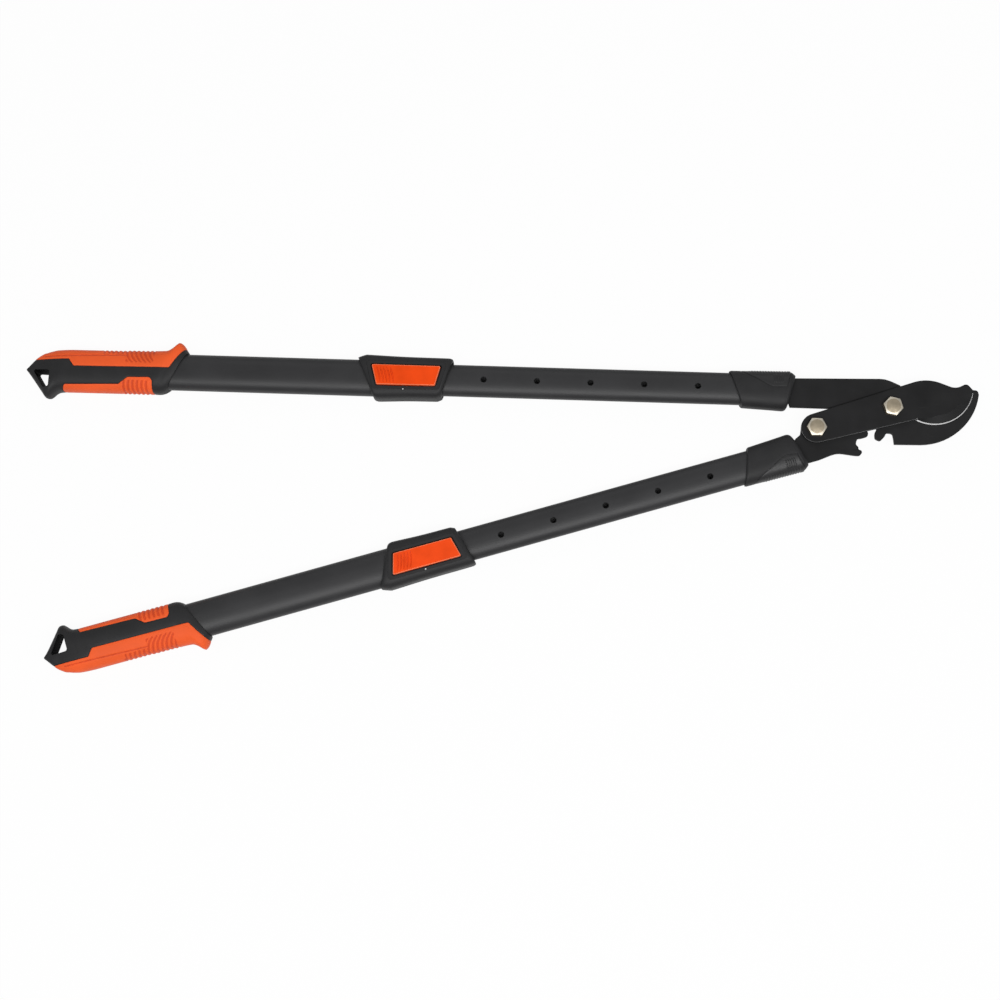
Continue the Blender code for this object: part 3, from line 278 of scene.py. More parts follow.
def make_blade():
    """The outline drawn up level by level, so that its edge grows from the plate's thickness to the land."""
    bm = bmesh.new()
    place = bm.verts.layers.int.new("place")
    edge = swept(bm, EDGE_CENTRE, EDGE_RADIUS, HEEL_ANGLE, TIP_ANGLE, math.radians(2))
    boss_start = LINK + BOSS_RADIUS * Vector((math.cos(BOSS_ANGLES[0]), math.sin(BOSS_ANGLES[0])))
    back = filleted(bm, edge[-1].co.xy, BEAK, DIP, BEAK_RADIUS) + filleted(bm, BEAK, DIP, CROWN, DIP_RADIUS)
    back += filleted(bm, DIP, CROWN, boss_start, CROWN_RADIUS, math.radians(3))
    ring = edge + back + swept(bm, LINK, BOSS_RADIUS, *BOSS_ANGLES, math.radians(5))
    for index, vert in enumerate(ring):
        vert[place] = index
    flat = [vert.co.xy for vert in ring]
    last = len(edge) - 1
    arc_length = EDGE_RADIUS * (TIP_ANGLE - HEEL_ANGLE)
    face = bm.faces.new(ring)
    bmesh.ops.translate(bm, verts=ring, vec=(0.0, 0.0, MID_HEIGHT + BLADE_BOTTOM))

    def shape(face, height, inset, ground_height, ground_inset, slope=0.0):
        """Put a level of the outline at its height and inset, which are others along the cutting edge."""
        for vert in face.verts:
            i = vert[place]
            along = (flat[(i + 1) % len(flat)] - flat[i - 1]).normalized()
            reach = min(i, last - i) / last * arc_length if i <= last else 0.0
            ground = min(1.0, reach / GROUND_RUN)
            drawn = inset + (ground_inset - inset) * ground + slope * min(1.0, reach / SLOPE_RUN)
            level = height + (ground_height - height) * ground
            vert.co = (*(flat[i] + Vector((-along.y, along.x)) * drawn), MID_HEIGHT + BLADE_BOTTOM + level)

    shape(face, 0.0, EASED / 2, 0.0, EASED / 4)
    cut_height = LAND + GROUND_RISE
    for level in ((EASED / 2, 0.0, EASED / 4, 0.0), (PLATE / 2, 0.0, LAND, 0.0),
                  (PLATE - EASED, 0.0, cut_height, GROUND_WIDTH),
                  (PLATE - 0.3 * EASED, 0.3 * EASED, cut_height + 0.1 * MM, GROUND_WIDTH + 0.3 * MM),
                  (PLATE, EASED, PLATE, GROUND_WIDTH + EASED, SLOPE_WIDTH),
                  (PLATE, 2.5 * EASED, PLATE, GROUND_WIDTH + 2.5 * EASED, SLOPE_WIDTH)):
        face = raised(bm, face, 0.0)
        shape(face, *level)
    bm = cut(bm, *(rod(BORE_RADIUS, 0.0, 2 * MID_HEIGHT, bolt) for bolt in (PIVOT, LINK)))
    bm.normal_update()
    for part in bm.faces:
        middle = part.calc_center_median()
        reach = middle.xy - EDGE_CENTRE
        low = middle.z < MID_HEIGHT + BLADE_BOTTOM + cut_height - 0.1 * MM
        on_edge = EDGE_RADIUS - 1.05 * GROUND_WIDTH < reach.length < EDGE_RADIUS + 0.1 * MM and reach.y < 0.0
        if low and on_edge and part.normal.z > -0.5:
            part.material_index = 1
        # Upper chamfer faces that are not turned away from the near lamp get the lighter grey: a painted
        # highlight.
        elif 0.2 < part.normal.z < 0.9 and middle.z > MID_HEIGHT + BLADE_BOTTOM + PLATE - 1.1 * EASED:
            part.material_index = 2 if part.normal.y < 0.1 else 0
    return bm


black_coat = coated_steel()
bright_edge = ground_steel()
# A lighter grey for the blade's near upper chamfers, a painted highlight.
painted_edge_highlight, *_ = surface("painted_edge_highlight", NEAR_CHAMFER_HIGHLIGHT, 0.45, 0.4 * MM, 0.005 * MM, cloud_size=9 * MM)
finished("blade", make_blade(), "blade", ["blade_plate"], "coated_plate", black_coat, bright_edge,
         painted_edge_highlight, sharp=18)


# Hook and lower tang. Two plates of the same steel in one plane behind the blade. Gear teeth between the two
# bolts make them turn together. Their outlines are the frame's, with a few corners softened.

HOOK_NOTCH = ((-9 * MM, -33 * MM), (4 * MM, -23 * MM))
TANG_FINGERS = ((-40 * MM, -54 * MM), (-28 * MM, -32 * MM))
LONG_EDGE = 1.3 * MM  # longer edges are divided before the corners are softened


def from_node(name):
    """A copy of a node's mesh with its triangles joined and its flat faces made whole."""
    bm = bmesh.new()
    bm.from_mesh(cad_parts[name].data)
    bmesh.ops.remove_doubles(bm, verts=bm.verts, dist=0.002 * MM)
    bmesh.ops.dissolve_limit(bm, angle_limit=math.radians(1), verts=bm.verts, edges=bm.edges)
    return bm


def softened(bm, low, high):
    """Round off the corners of an outline inside a window in plan."""
    def near(vert):
        return all(low[i] < vert.co[i] < high[i] for i in (0, 1))

    for _ in range(5):
        level = [edge for edge in bm.edges if abs(edge.verts[0].co.z - edge.verts[1].co.z) < 0.1 * MM]
        long = [edge for edge in level if all(map(near, edge.verts)) and edge.calc_length() > LONG_EDGE]
        bmesh.ops.subdivide_edges(bm, edges=long, cuts=1)
    for _ in range(7):
        corners = [vert for vert in bm.verts if near(vert)]
        bmesh.ops.smooth_vert(bm, verts=corners, factor=0.5, use_axis_x=True, use_axis_y=True)
    return bm


hook = softened(from_node("hook_plate"), *HOOK_NOTCH)
tang = softened(from_node("lower_tang"), *TANG_FINGERS)
finished("hook", hook, "upper_arm", ["hook_plate"], "coated_plate", black_coat)
finished("geared_tang", tang, "lower_arm", ["lower_tang"], "coated_plate", black_coat)


# Bolts. Two zinc plated hexagon bolts go down through the plates, each with a washer and a lock nut on the
# back. The lock nut has a rolled collar that holds a nylon ring, and the bolt's thread just shows beyond it.

HEAD_FLATS = 18 * MM
HEAD_LOW = BLADE_BOTTOM + PLATE + PLATE_GAP
HEAD_HEIGHT = 6.5 * MM
WASHER_RADIUS = 12 * MM
WASHER_THICKNESS = 1.5 * MM
WASHER_SOFT = 0.3 * MM  # softening of its outer corners
NUT_HEIGHT = 9.8 * MM
NUT_HEX_HEIGHT = 6.8 * MM
NUT_TURN = 0.4  # how far a nut stands turned from its bolt's head
COLLAR_RADIUS = 8.1 * MM
COLLAR_SHOULDER = 1.1 * MM
COLLAR_WALL = 1.2 * MM
RING_SEAT = 2.0 * MM  # depth of the nylon ring's seat in the collar
RING_PLAY = 0.05 * MM
RING_SUNK = 0.25 * MM
RING_GRIP = 0.2 * MM  # how far the ring reaches into the nut's bore
SHANK = 4 * MM  # plain shank beyond the washer
THREAD_PITCH = 1.75 * MM
THREAD_DEPTH = 0.9 * MM
BOLTS = {"pivot": (PIVOT, math.radians(-12)), "link": (LINK, 0.0)}
WARM_PLATING = (0.42, 0.357, 0.26)
# lighter plating painted on the heads' chamfers, a painted highlight
CHAMFER_HIGHLIGHT_PLATING = (0.66, 0.61, 0.51)
TURNED_RING = (0.3, 0.27, 0.21)
HEAD_SLOPE = math.radians(24)
HEAD_FACE = 0.83  # flat part of a head's face, as a share of its width across the flats


def plated_steel(name, centre, colour=WARM_PLATING):
    """Yellowish zinc plating over faces turned in a lathe, whose rings are centred on the bolt."""
    made, tree, shader = surface(name, colour, 0.42, 0.6 * MM, 0.008 * MM, 0.8, 0.12, 6 * MM)
    centred = node(tree, "ShaderNodeMapping", {"Vector": object_place(tree),
                                               "Location": (-centre[0], -centre[1], 0.0)})
    rings = node(tree, "ShaderNodeTexWave", {"Vector": centred.outputs["Vector"], "Scale": 900.0,
                                             "Distortion": 0.6}, wave_type="RINGS", rings_direction="Z")
    lighten(tree, shader, spread(tree, rings.outputs["Fac"], 0.0, 0.22), TURNED_RING)
    return made


def hexagon(low, high, turn, both_ends):
    """A hexagon bar whose corners are turned off to a cone at its upper end or at both."""
    corner = HEAD_FLATS / 2 / math.cos(math.pi / 6)
    bm = bmesh.new()
    ring = bmesh.ops.create_circle(bm, cap_ends=True, segments=6, radius=corner)["verts"]
    bmesh.ops.rotate(bm, verts=ring, matrix=Matrix.Rotation(turn - math.pi / 6, 3, "Z"))
    raised(moved(bm, (0.0, 0.0, low)), bm.faces[:][0], high - low)
    wide, narrow = corner + PLATE_GAP, HEAD_FLATS / 2 * HEAD_FACE
    drop = (wide - narrow) * math.tan(HEAD_SLOPE)
    foot = [(narrow, low), (wide, low + drop)] if both_ends else [(wide, low)]
    profile = [(0.0, low), *foot, (wide, high - drop), (narrow, high), (0.0, high)]
    return combined(bm, spun(profile), "INTERSECT")


def thread(radius, low, high):
    """A screw thread: one V swept up round the bolt, then cut flat at both ends."""
    bm = bmesh.new()
    foot = radius - THREAD_DEPTH
    start = low - 1.5 * THREAD_PITCH
    points = [bm.verts.new((r, 0.0, start + share * THREAD_PITCH))
              for r, share in ((foot, 0.0), (radius, 0.42), (radius, 0.58), (foot, 1.0))]
    lines = [bm.edges.new(pair) for pair in zip(points, points[1:])]
    turns = math.ceil((high - low) / THREAD_PITCH) + 3
    bmesh.ops.spin(bm, geom=points + lines, axis=(0, 0, 1), cent=(0, 0, 0), steps=36 * turns,
                   dvec=(0, 0, THREAD_PITCH / 36), angle=2 * math.pi * turns)
    bmesh.ops.remove_doubles(bm, verts=bm.verts, dist=0.02 * MM)
    for height, side in ((low, -1), (high, 1)):
        everything = bm.verts[:] + bm.edges[:] + bm.faces[:]
        bmesh.ops.bisect_plane(bm, geom=everything, plane_co=(0, 0, height), plane_no=(0, 0, side),
                               clear_outer=True)
    bmesh.ops.holes_fill(bm, edges=bm.edges, sides=0)
    return bm


def merged(bm, other):
    """Put two separate shapes in one piece."""
    mesh = bpy.data.meshes.new("work")
    other.to_mesh(mesh)
    other.free()
    bm.from_mesh(mesh)
    bpy.data.meshes.remove(mesh)
    return bm


def collar_nut(top, turn):
    """A lock nut's hexagon with its rolled collar below, bored and with the nylon ring's seat turned out."""
    low, hex_low = top - NUT_HEIGHT, top - NUT_HEX_HEIGHT
    nut = hexagon(hex_low, top, turn, True)
    rim = [(COLLAR_RADIUS - COLLAR_SHOULDER * (1 - math.cos(a)), low + COLLAR_SHOULDER * (1 - math.sin(a)))
           for a in (0.0, math.radians(30), math.radians(60), math.radians(90))]
    seat = [(COLLAR_RADIUS - COLLAR_WALL, low), (COLLAR_RADIUS - COLLAR_WALL, low + RING_SEAT)]
    collar = [(0.0, hex_low + MM), (COLLAR_RADIUS, hex_low + MM), *rim, *seat, (0.0, low + RING_SEAT)]
    return cut(combined(nut, spun(collar), "UNION"), rod(BORE_RADIUS, low - MM, top + MM))


def on_bolt(kind, name, form, slot, nodes, *finishes, sharp=35):
    """Set a piece that is drawn round its bolt's axis in its place in the head."""
    moved(form, (*BOLTS[name][0], MID_HEIGHT))
    finished(f"{kind}_{name}", form, "blade", nodes, slot, *finishes, sharp=sharp)


nylon_ring, *_ = surface("nylon_ring", (0.5, 0.5, 0.47), 0.45, 0.3 * MM, 0.005 * MM)
for name, (centre, turn) in BOLTS.items():
    plating = plated_steel(f"plated_{name}", centre)
    # A lighter plating for the head's chamfer, a painted highlight round its rim.
    painted_chamfer_highlight = plated_steel(f"worn_{name}", centre, CHAMFER_HIGHLIGHT_PLATING)
    head = hexagon(HEAD_LOW, HEAD_LOW + HEAD_HEIGHT, turn, False)
    shank_end = -PLATE / 2 - WASHER_THICKNESS - SHANK
    head = combined(head, rod(BOLT_DIAMETER / 2, shank_end, HEAD_LOW + HEAD_HEIGHT / 2), "UNION")
    bolt = merged(head, thread(BOLT_DIAMETER / 2, -MID_HEIGHT, shank_end - 0.02 * MM))
    bolt.normal_update()
    # The head's chamfer faces take the lighter plating: a painted highlight round the rim.
    for part in bolt.faces:
        part.material_index = int(0.3 < part.normal.z < 0.99 and part.calc_center_median().z > HEAD_LOW)
    on_bolt("bolt", name, bolt, "plated_steel", [f"{name}_bolt"], plating, painted_chamfer_highlight, sharp=25)

    washer_top = -PLATE / 2 - PLATE_GAP
    washer_low = washer_top - WASHER_THICKNESS
    flat_radius = WASHER_RADIUS - WASHER_SOFT
    washer = spun([(BORE_RADIUS, washer_low), (flat_radius, washer_low),
                   (WASHER_RADIUS, washer_low + WASHER_SOFT), (WASHER_RADIUS, washer_top - WASHER_SOFT),
                   (flat_radius, washer_top), (BORE_RADIUS, washer_top)])
    on_bolt("washer", name, washer, "plated_steel", [f"{name}_washer"], plating)

    nut_top = washer_low - PLATE_GAP
    nut = collar_nut(nut_top, turn + NUT_TURN)
    on_bolt("nut", name, nut, "plated_steel", [f"{name}_nut"], plating, sharp=25)
    inner, outer = BORE_RADIUS - RING_GRIP, COLLAR_RADIUS - COLLAR_WALL - RING_PLAY
    low, high = nut_top - NUT_HEIGHT + RING_SUNK, nut_top - NUT_HEIGHT + RING_SEAT - RING_PLAY
    ring = spun([(inner, low), (outer, low), (outer, high), (inner, high)])
    on_bolt("nut_ring", name, ring, "nylon", [], nylon_ring)


# Inner tubes. Flat oval steel tubes, powder coated in charcoal, that stay with the head. Six holes in a row
# on the front face take the lock's pin. A nylon plug guides the rear end inside the outer tube.

ARM_ANGLE = math.radians(17.7)
PIVOT_IN_ARM = (484.5 * MM, -16.1 * MM)  # s, u of the main pivot in the upper arm
LINK_IN_ARM = (403.1 * MM, -19.7 * MM)  # s, u of the link bolt in the lower arm
OVAL_POWER = 2.5
INNER_HALF = (17.0 * MM, 9.2 * MM)
TUBE_WALL = 1.2 * MM
TUBE_RIM = 0.4 * MM  # softening of a tube's ends
INNER_ENDS = (-94 * MM, 366 * MM)
HOLE_PITCH = 56.4 * MM
HOLE_RADIUS = 3.1 * MM
HOLE_COUNT = 6
HOLE_FLARE = 0.35 * MM
HOLE_FROM = 4 * MM  # height inside the tube where a hole's drill starts
PLAY = 0.3 * MM  # room left round a tube or a tang in the piece that takes it
CHARCOAL = (0.029, 0.029, 0.0305)  # satin powder coat with a faint orange peel
NYLON_BLACK = (0.03, 0.03, 0.031)
RIVET_GREY = (0.5, 0.5, 0.49)
ARMS = {
    "upper": Matrix.Translation((-PIVOT_IN_ARM[0], -PIVOT_IN_ARM[1], MID_HEIGHT)),
    "lower": Matrix.Translation((*LINK, MID_HEIGHT)) @ Matrix.Rotation(ARM_ANGLE, 4, "Z")
    @ Matrix.Translation((-LINK_IN_ARM[0], LINK_IN_ARM[1], 0.0)) @ Matrix.Diagonal((1, -1, 1, 1)),
}


def section(outer, inner, top, bottom, power):
    """How a unit circle becomes a section that leans from its outer end (s, u) to its inner end (s, u)."""
    middle, half = (Vector(outer) + Vector(inner)) / 2, (Vector(outer) - Vector(inner)) / 2

    def place(x, y):
        across = math.copysign(abs(x) ** (2 / power), x)
        up = math.copysign(abs(y) ** (2 / power), y)
        flat = middle + half * across
        return flat.x, flat.y, up * (top if up > 0 else bottom)

    return place


def oval(s, half_u, half_z):
    return section((s, half_u), (s, -half_u), half_z, half_z, OVAL_POWER)


def lofted(sections, sides=96):
    """A solid drawn through sections of one circle of points, closed at both ends."""
    first, *others = sections
    bm = bmesh.new()
    turn = bm.verts.layers.int.new("turn")
    ring = bmesh.ops.create_circle(bm, cap_ends=True, segments=sides, radius=1.0)["verts"]
    circle = [vert.co.xy for vert in ring]
    for index, vert in enumerate(ring):
        vert[turn] = index
        vert.co = first(*circle[index])
    edges = bm.edges[:]
    for place in others:
        grown = bmesh.ops.extrude_edge_only(bm, edges=edges)["geom"]
        ring = [part for part in grown if isinstance(part, bmesh.types.BMVert)]
        edges = [part for part in grown if isinstance(part, bmesh.types.BMEdge)]
        for vert in ring:
            vert.co = place(*circle[vert[turn]])
    bm.faces.new(sorted(ring, key=lambda vert: vert[turn]))
    return bm


def tube(start, end, half):
    """A length of oval tube with softened rims."""
    bore = [size - TUBE_WALL for size in half]
    rim = [size - TUBE_RIM for size in half]
    body = lofted([oval(start, *rim), oval(start + TUBE_RIM, *half),
                   oval(end - TUBE_RIM, *half), oval(end, *rim)])
    return cut(body, lofted([oval(start - MM, *bore), oval(end + MM, *bore)]))


def tube_room(start, end, half):
    """The room that an oval tube takes up inside another piece."""
    return lofted([oval(place, half[0] + PLAY, half[1] + PLAY) for place in (start, end)])


def on_both_arms(name, bm, body, nodes, slot, *finishes, **options):
    """Place a piece drawn in the arm's frame, or one for each arm, on the arms' bodies."""
    made = {}
    for arm, place in ARMS.items():
        copy = (bm[arm] if isinstance(bm, dict) else bm).copy()
        bmesh.ops.transform(copy, matrix=place, verts=copy.verts)
        replaced = [f"{arm}_{part}" for part in nodes]
        made[arm] = finished(f"{name}_{arm}", copy, f"{arm}_{body}", replaced, slot, *finishes, **options)
    return made


charcoal, *_ = surface("tube_coat", CHARCOAL, 0.42, 1.1 * MM, 0.02 * MM, 0.0, 0.1, 40 * MM, 0.3)
inner_tube = tube(*INNER_ENDS, INNER_HALF)
hole_mouth = HOLE_RADIUS + 2 * HOLE_FLARE, INNER_HALF[1] + HOLE_FLARE
hole_profile = [(0.0, HOLE_FROM), (HOLE_RADIUS, HOLE_FROM), (HOLE_RADIUS, INNER_HALF[1] - HOLE_FLARE),
                hole_mouth, (0.0, hole_mouth[1])]
for index in range(HOLE_COUNT):
    inner_tube = cut(inner_tube, moved(spun(hole_profile, 40), (index * HOLE_PITCH, 0.0, 0.0)))
on_both_arms("inner_tube", inner_tube, "arm", ["inner_tube"], "coated_tube", charcoal)

dark_nylon, *_ = surface("dark_nylon", NYLON_BLACK, 0.5, 0.4 * MM, 0.01 * MM)
rivet_steel, *_ = surface("rivet_steel", RIVET_GREY, 0.35, 0.5 * MM, 0.01 * MM, metallic=1.0)
INSIDE_PIECES = {"rear_guide": dark_nylon, "tang_insert": dark_nylon, "front_bush": dark_nylon,
                 "tang_rivet_rear": rivet_steel, "tang_rivet_front": rivet_steel, "lock_pin": rivet_steel}
for arm in ARMS:
    for part, finish in INSIDE_PIECES.items():
        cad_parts[f"{arm}_{part}"].data.materials[0] = finish


# Ferrules. Slanted plastic boots over the inner tubes' front ends, closed in front around the tangs. A softer
# second plastic with more shine covers the outer flank inside a fine groove, with cross ribs at its edge.

FERRULE_REAR = (Vector((315.0, 18.4)) * MM, Vector((328.1, -19.2)) * MM)  # outer and inner ends, s and u
FERRULE_FRONT = (Vector((384.4, 17.4)) * MM, Vector((375.9, -19.7)) * MM)
FERRULE_TOP = 12.4 * MM
FERRULE_PLAN = (  # share of the length, growth on the outer and inner side and rise of the face, mm
    (0.0, 0.0, 0.0, -0.9), (0.01, 0.35, 0.35, -0.35), (0.03, 0.7, 0.7, 0.0), (0.1, 0.8, 0.8, 0.0),
    (0.3, 1.2, 1.2, 0.1), (0.5, 1.54, 1.54, 0.2), (0.7, 1.9, 1.9, 0.3), (0.86, 2.2, 2.3, 0.4),
    (0.9, 2.8, 2.3, 0.4), (0.915, 2.6, 2.2, 0.2), (0.94, 1.4, 1.8, 0.1), (0.96, 0.4, 1.2, -0.3),
    (0.98, -0.6, 0.2, -1.0), (0.992, -1.3, -0.9, -1.8), (1.0, -1.8, -2.2, -2.6),
)
FERRULE_POWER = 2.8
FERRULE_SEAM = (  # s, u and corner radius, mm
    (327.2, 60.0, 1.0), (327.2, 17.5, 1.0), (342.5, 10.0, 9.0), (355.0, 3.0, 5.0), (360.0, 0.9, 3.0),
    (364.0, 0.5, 3.0), (374.6, 1.6, 1.0), (379.8, 20.0, 1.0), (384.4, 60.0, 1.0),
)
TANG_SLOT = ((360, -18.4), (400, -18.4), (400, 13.3), (360, 13.3))
SEAM_HALF_WIDTH = 0.3 * MM
SEAM_DEPTH = 0.8 * MM
SEAM_LIP = (0.25 * MM, 0.7 * MM)  # depth and width of the rounding on both sides of the seam
FLANK_RIBS, FLANK_LEAN = (0.5 * MM, 2.9 * MM), 0.27  # height and pitch
FLANK_SPAN = (334, 338, 375, 377)  # along the arm, mm: start, full from, full to, end
BOX_RIBS = (0.45 * MM, 2.3 * MM)
BOX_SPAN, BOX_BREADTH = (360, 360.6, 370.5, 371), (5.5, 6.2, 13.8, 14.5)
BEHIND_FERRULE = 300 * MM
TALL = 40 * MM  # more than any piece's height
DARK_PLASTIC = (0.022, 0.022, 0.023)
SOFT_BLACK = (0.017, 0.017, 0.018)


def pushed(bm, height):
    """Move each point along its normal by a height worked out from its place in the arm."""
    bmesh.ops.recalc_face_normals(bm, faces=bm.faces)
    bm.normal_update()
    moves = height(np.array([vert.co for vert in bm.verts]), np.array([vert.normal for vert in bm.verts]))
    for vert, move in zip(bm.verts, moves):
        vert.co += vert.normal * float(move)
    return bm


def step_up(values, low, high):
    """0 below low, 1 above high, smooth between."""
    share = np.clip((values - low) / (high - low), 0, 1)
    return share * share * (3 - 2 * share)


def window(values, low, full_from, full_to, high):
    """1 in the middle of a range, 0 outside it, smooth between."""
    return step_up(values, low, full_from) * (1 - step_up(values, full_to, high))


def waves(places, pitch):
    """Rounded waves between 0 and 1, 0 at place 0."""
    return 0.5 - 0.5 * np.cos(2 * np.pi * places / pitch)


def face_centres(bm):
    return np.array([part.calc_center_median() for part in bm.faces])


def from_outline(points, outline):
    """Distance in plan from each point to a closed outline."""
    best = np.full(len(points), np.inf)
    for start, end in zip(outline, np.roll(outline, -1, axis=0)):
        along = end - start
        share = np.clip(((points[:, :2] - start) @ along) / (along @ along), 0, 1)
        away = points[:, :2] - start - share[:, None] * along
        best = np.minimum(best, np.hypot(*away.T))
    return best


def inside(points, outline):
    """Which points lie within an outline in plan."""
    hit = np.zeros(len(points), bool)
    for start, end in zip(outline, np.roll(outline, -1, axis=0)):
        crosses = (start[1] > points[:, 1]) != (end[1] > points[:, 1])
        with np.errstate(divide="ignore", invalid="ignore"):
            reach = start[0] + (points[:, 1] - start[1]) / (end[1] - start[1]) * (end[0] - start[0])
        hit ^= crosses & (points[:, 0] < reach)
    return hit


def seam_block(corners, grow=0.0):
    """A tall block with a seam's outline of (s, u, radius), grown by a gap; also gives the outline."""
    bm = bmesh.new()
    ring = []
    for i, (s, u, radius) in enumerate(corners):
        before, after = corners[i - 1][:2], corners[(i + 1) % len(corners)][:2]
        ring += filleted(bm, before, (s, u), after, max(radius, 0.01 * MM), math.radians(15))
    outline = [vert.co.xy for vert in ring]
    turning = sum(a.cross(b) for a, b in zip(outline, outline[1:] + outline[:1]))
    for i, vert in enumerate(ring):
        along = (outline[(i + 1) % len(outline)] - outline[i - 1]).normalized()
        vert.co.xy += Vector((along.y, -along.x)) * math.copysign(1, turning) * grow
    raised(moved(bm, (0.0, 0.0, -TALL)), bm.faces.new(ring), 2 * TALL)
    return bm, np.array([tuple(point) for point in outline])


def ferrule_sections(inset=0.0, count=150):
    """Sections from the rear rim to the front, closer together over both rims."""
    shares = [*np.linspace(0, 0.03, 4), *np.linspace(0.04, 0.89, count), *np.linspace(0.9, 1, 20)]
    columns = np.array(FERRULE_PLAN).T
    for share in shares:
        grown_out, grown_in, rise = (np.interp(share, columns[0], column) * MM for column in columns[1:])
        outer = FERRULE_REAR[0].lerp(FERRULE_FRONT[0], share) + Vector((0.0, grown_out - inset))
        inner = FERRULE_REAR[1].lerp(FERRULE_FRONT[1], share) - Vector((0.0, grown_in - inset))
        top = FERRULE_TOP + rise - inset
        yield section(outer, inner, top, top, FERRULE_POWER)


def ferrule_relief(points, normals):
    """Softened lips along the seam, cross ribs on the outer flank and a small box of ribs on the face."""
    s, u = points[:, 0] / MM, points[:, 1] / MM
    distance = from_outline(points, np.array(FERRULE_SEAM)[:, :2] * MM)
    lips = -SEAM_LIP[0] * np.exp(-(distance / SEAM_LIP[1]) ** 2) * (np.abs(normals[:, 0]) < 0.7)
    flank = step_up(u, 15.5, 17.5) * window(s, *FLANK_SPAN)
    box = window(u, *BOX_BREADTH) * window(s, *BOX_SPAN)
    flank_ribs = FLANK_RIBS[0] * waves((s + FLANK_LEAN * u) * MM, FLANK_RIBS[1]) * flank
    return lips + flank_ribs + BOX_RIBS[0] * waves((s - BOX_SPAN[0]) * MM, BOX_RIBS[1]) * box


def moulded(name, colour, roughness=0.5, grain=0.35 * MM, height=0.02 * MM, shine=0.2):
    """Injection moulded plastic with the fine spark-eroded grain of its mould."""
    made, *_ = surface(name, colour, roughness, grain, height, 0.0, 0.08, 15 * MM, shine)
    return made


black_moulding = moulded("black_moulding", DARK_PLASTIC)
soft_black = moulded("soft_black", SOFT_BLACK, 0.42, 0.5 * MM, 0.008 * MM, 0.4)
slot = bmesh.new()
slot_floor = [slot.verts.new((s * MM, u * MM, -PLATE / 2 - PLAY)) for s, u in TANG_SLOT]
raised(slot, slot.faces.new(slot_floor), PLATE + 2 * PLAY)
seam = [tuple(value * MM for value in corner) for corner in FERRULE_SEAM]
flank_block, flank_outline = seam_block(seam, SEAM_HALF_WIDTH)
within_slit, _ = seam_block(seam, -SEAM_HALF_WIDTH)
bmesh.ops.scale(within_slit, verts=within_slit.verts, vec=(1.0, 1.0, 1.1))
slit = cut(flank_block, within_slit, lofted(ferrule_sections(SEAM_DEPTH, 12)))
ferrule = cut(pushed(lofted(ferrule_sections(), 160), ferrule_relief),
              tube_room(BEHIND_FERRULE, INNER_ENDS[1] + PLAY, INNER_HALF), slot, slit)
for part, soft in zip(ferrule.faces, inside(face_centres(ferrule), flank_outline)):
    part.material_index = int(soft)
on_both_arms("ferrule", ferrule, "arm", ["ferrule"], "black_plastic", black_moulding, soft_black)


# Outer tubes. The same oval tube one size up, which slides over the inner tube and carries the grip at its
# rear end and the lock at its front end.

OUTER_HALF = (19.5 * MM, 11.2 * MM)
OUTER_ENDS = (-394 * MM, 9.4 * MM)
on_both_arms("outer_tube", tube(*OUTER_ENDS, OUTER_HALF), "handle", ["outer_tube"], "coated_tube", charcoal)


# Lock housings. Slanted mouldings over the outer tubes' front ends, with round shoulders and a sunk frame in
# the top face for the lever. The hinge pin is pressed in from the side.

HOUSING_REAR = (Vector((-77.8, 20.7)) * MM, Vector((-60.0, -20.7)) * MM)
HOUSING_FRONT = (Vector((23.4, 20.4)) * MM, Vector((12.0, -20.2)) * MM)
HOUSING_BULGE = (3.4 * MM, 1.7 * MM)  # at the rear and front shoulders
OUTER_SHOULDERS = ((9.0 * MM, 1.0), (4.0 * MM, 2.0))  # length and roundness, rear and front; 1 is a chamfer
INNER_SHOULDERS = ((7.0 * MM, 2.0), (4.5 * MM, 1.0))
HOUSING_WAIST = 0.5 * MM  # how much the sides are drawn in half way
HOUSING_RIM = 0.09  # share of the length that each rim takes
HOUSING_POWER = 4.4
HOUSING_TOP = 16.0 * MM
HOUSING_BOTTOM = 14.6 * MM
HOUSING_DROP, DROP_RUN = 2.6 * MM, 6 * MM  # how much lower the rims are, and over which length
LEVER_CORNERS = ((-56.2, -10.4), (5.7, -10.1), (11.1, 11.3), (-62.1, 11.5))
LEVER_TOP = 17.0 * MM
FRAME_WIDTH, FRAME_RADIUS = 4.2 * MM, 3.6 * MM  # sunk frame around the lever, and its corners
FRAME_DEPTH = 0.9 * MM
LEVER_GAP, GAP_RADIUS = 1.2 * MM, 2.4 * MM
SLANT_GROWTH = 1.6  # how much more a frame grows along the arm at its slanted corners
FAR = 120 * MM  # beyond the whole housing
HINGE_AT = (-28.0 * MM, 0.0, 13.9 * MM)
HINGE_RADIUS, HINGE_PLAY = 1.0 * MM, 0.05 * MM
HINGE_REACH = 14.9 * MM
HINGE_GLINT_LENGTH = 1.5 * MM  # length at one end painted bright, a painted glint under the peep hole
PEEP_HOLE = (1.9 * MM, 0.6 * MM, 1.0)  # half sizes along and across the arm
PEEP_HOLES = {"upper": -14.4 * MM, "lower": 14.4 * MM}  # across the arm, over one end of the hinge pin
BROWNED = (0.02, 0.02, 0.02)
# bright colour of the pin's end under the peep hole, a painted glint
PIN_GLINT_WHITE = (0.9, 0.9, 0.88)


def rounded_block(corners, radius, grow, low, high):
    """A block whose outline has its corners rounded, grown on every side."""
    corners = [Vector(corner) * MM for corner in corners]
    middle = sum(corners, Vector((0.0, 0.0))) / len(corners)
    grown = []
    for corner in corners:
        along = math.copysign(grow * (SLANT_GROWTH if corner.y > 0 else 1.0), corner.x - middle.x)
        grown.append(corner + Vector((along, math.copysign(grow, corner.y))))
    bm = bmesh.new()
    ring = []
    for i, corner in enumerate(grown):
        ring += filleted(bm, grown[i - 1], corner, grown[(i + 1) % len(grown)], radius, math.radians(10))
    return moved(bm, (0.0, 0.0, low)), raised(bm, bm.faces.new(ring), high - low)


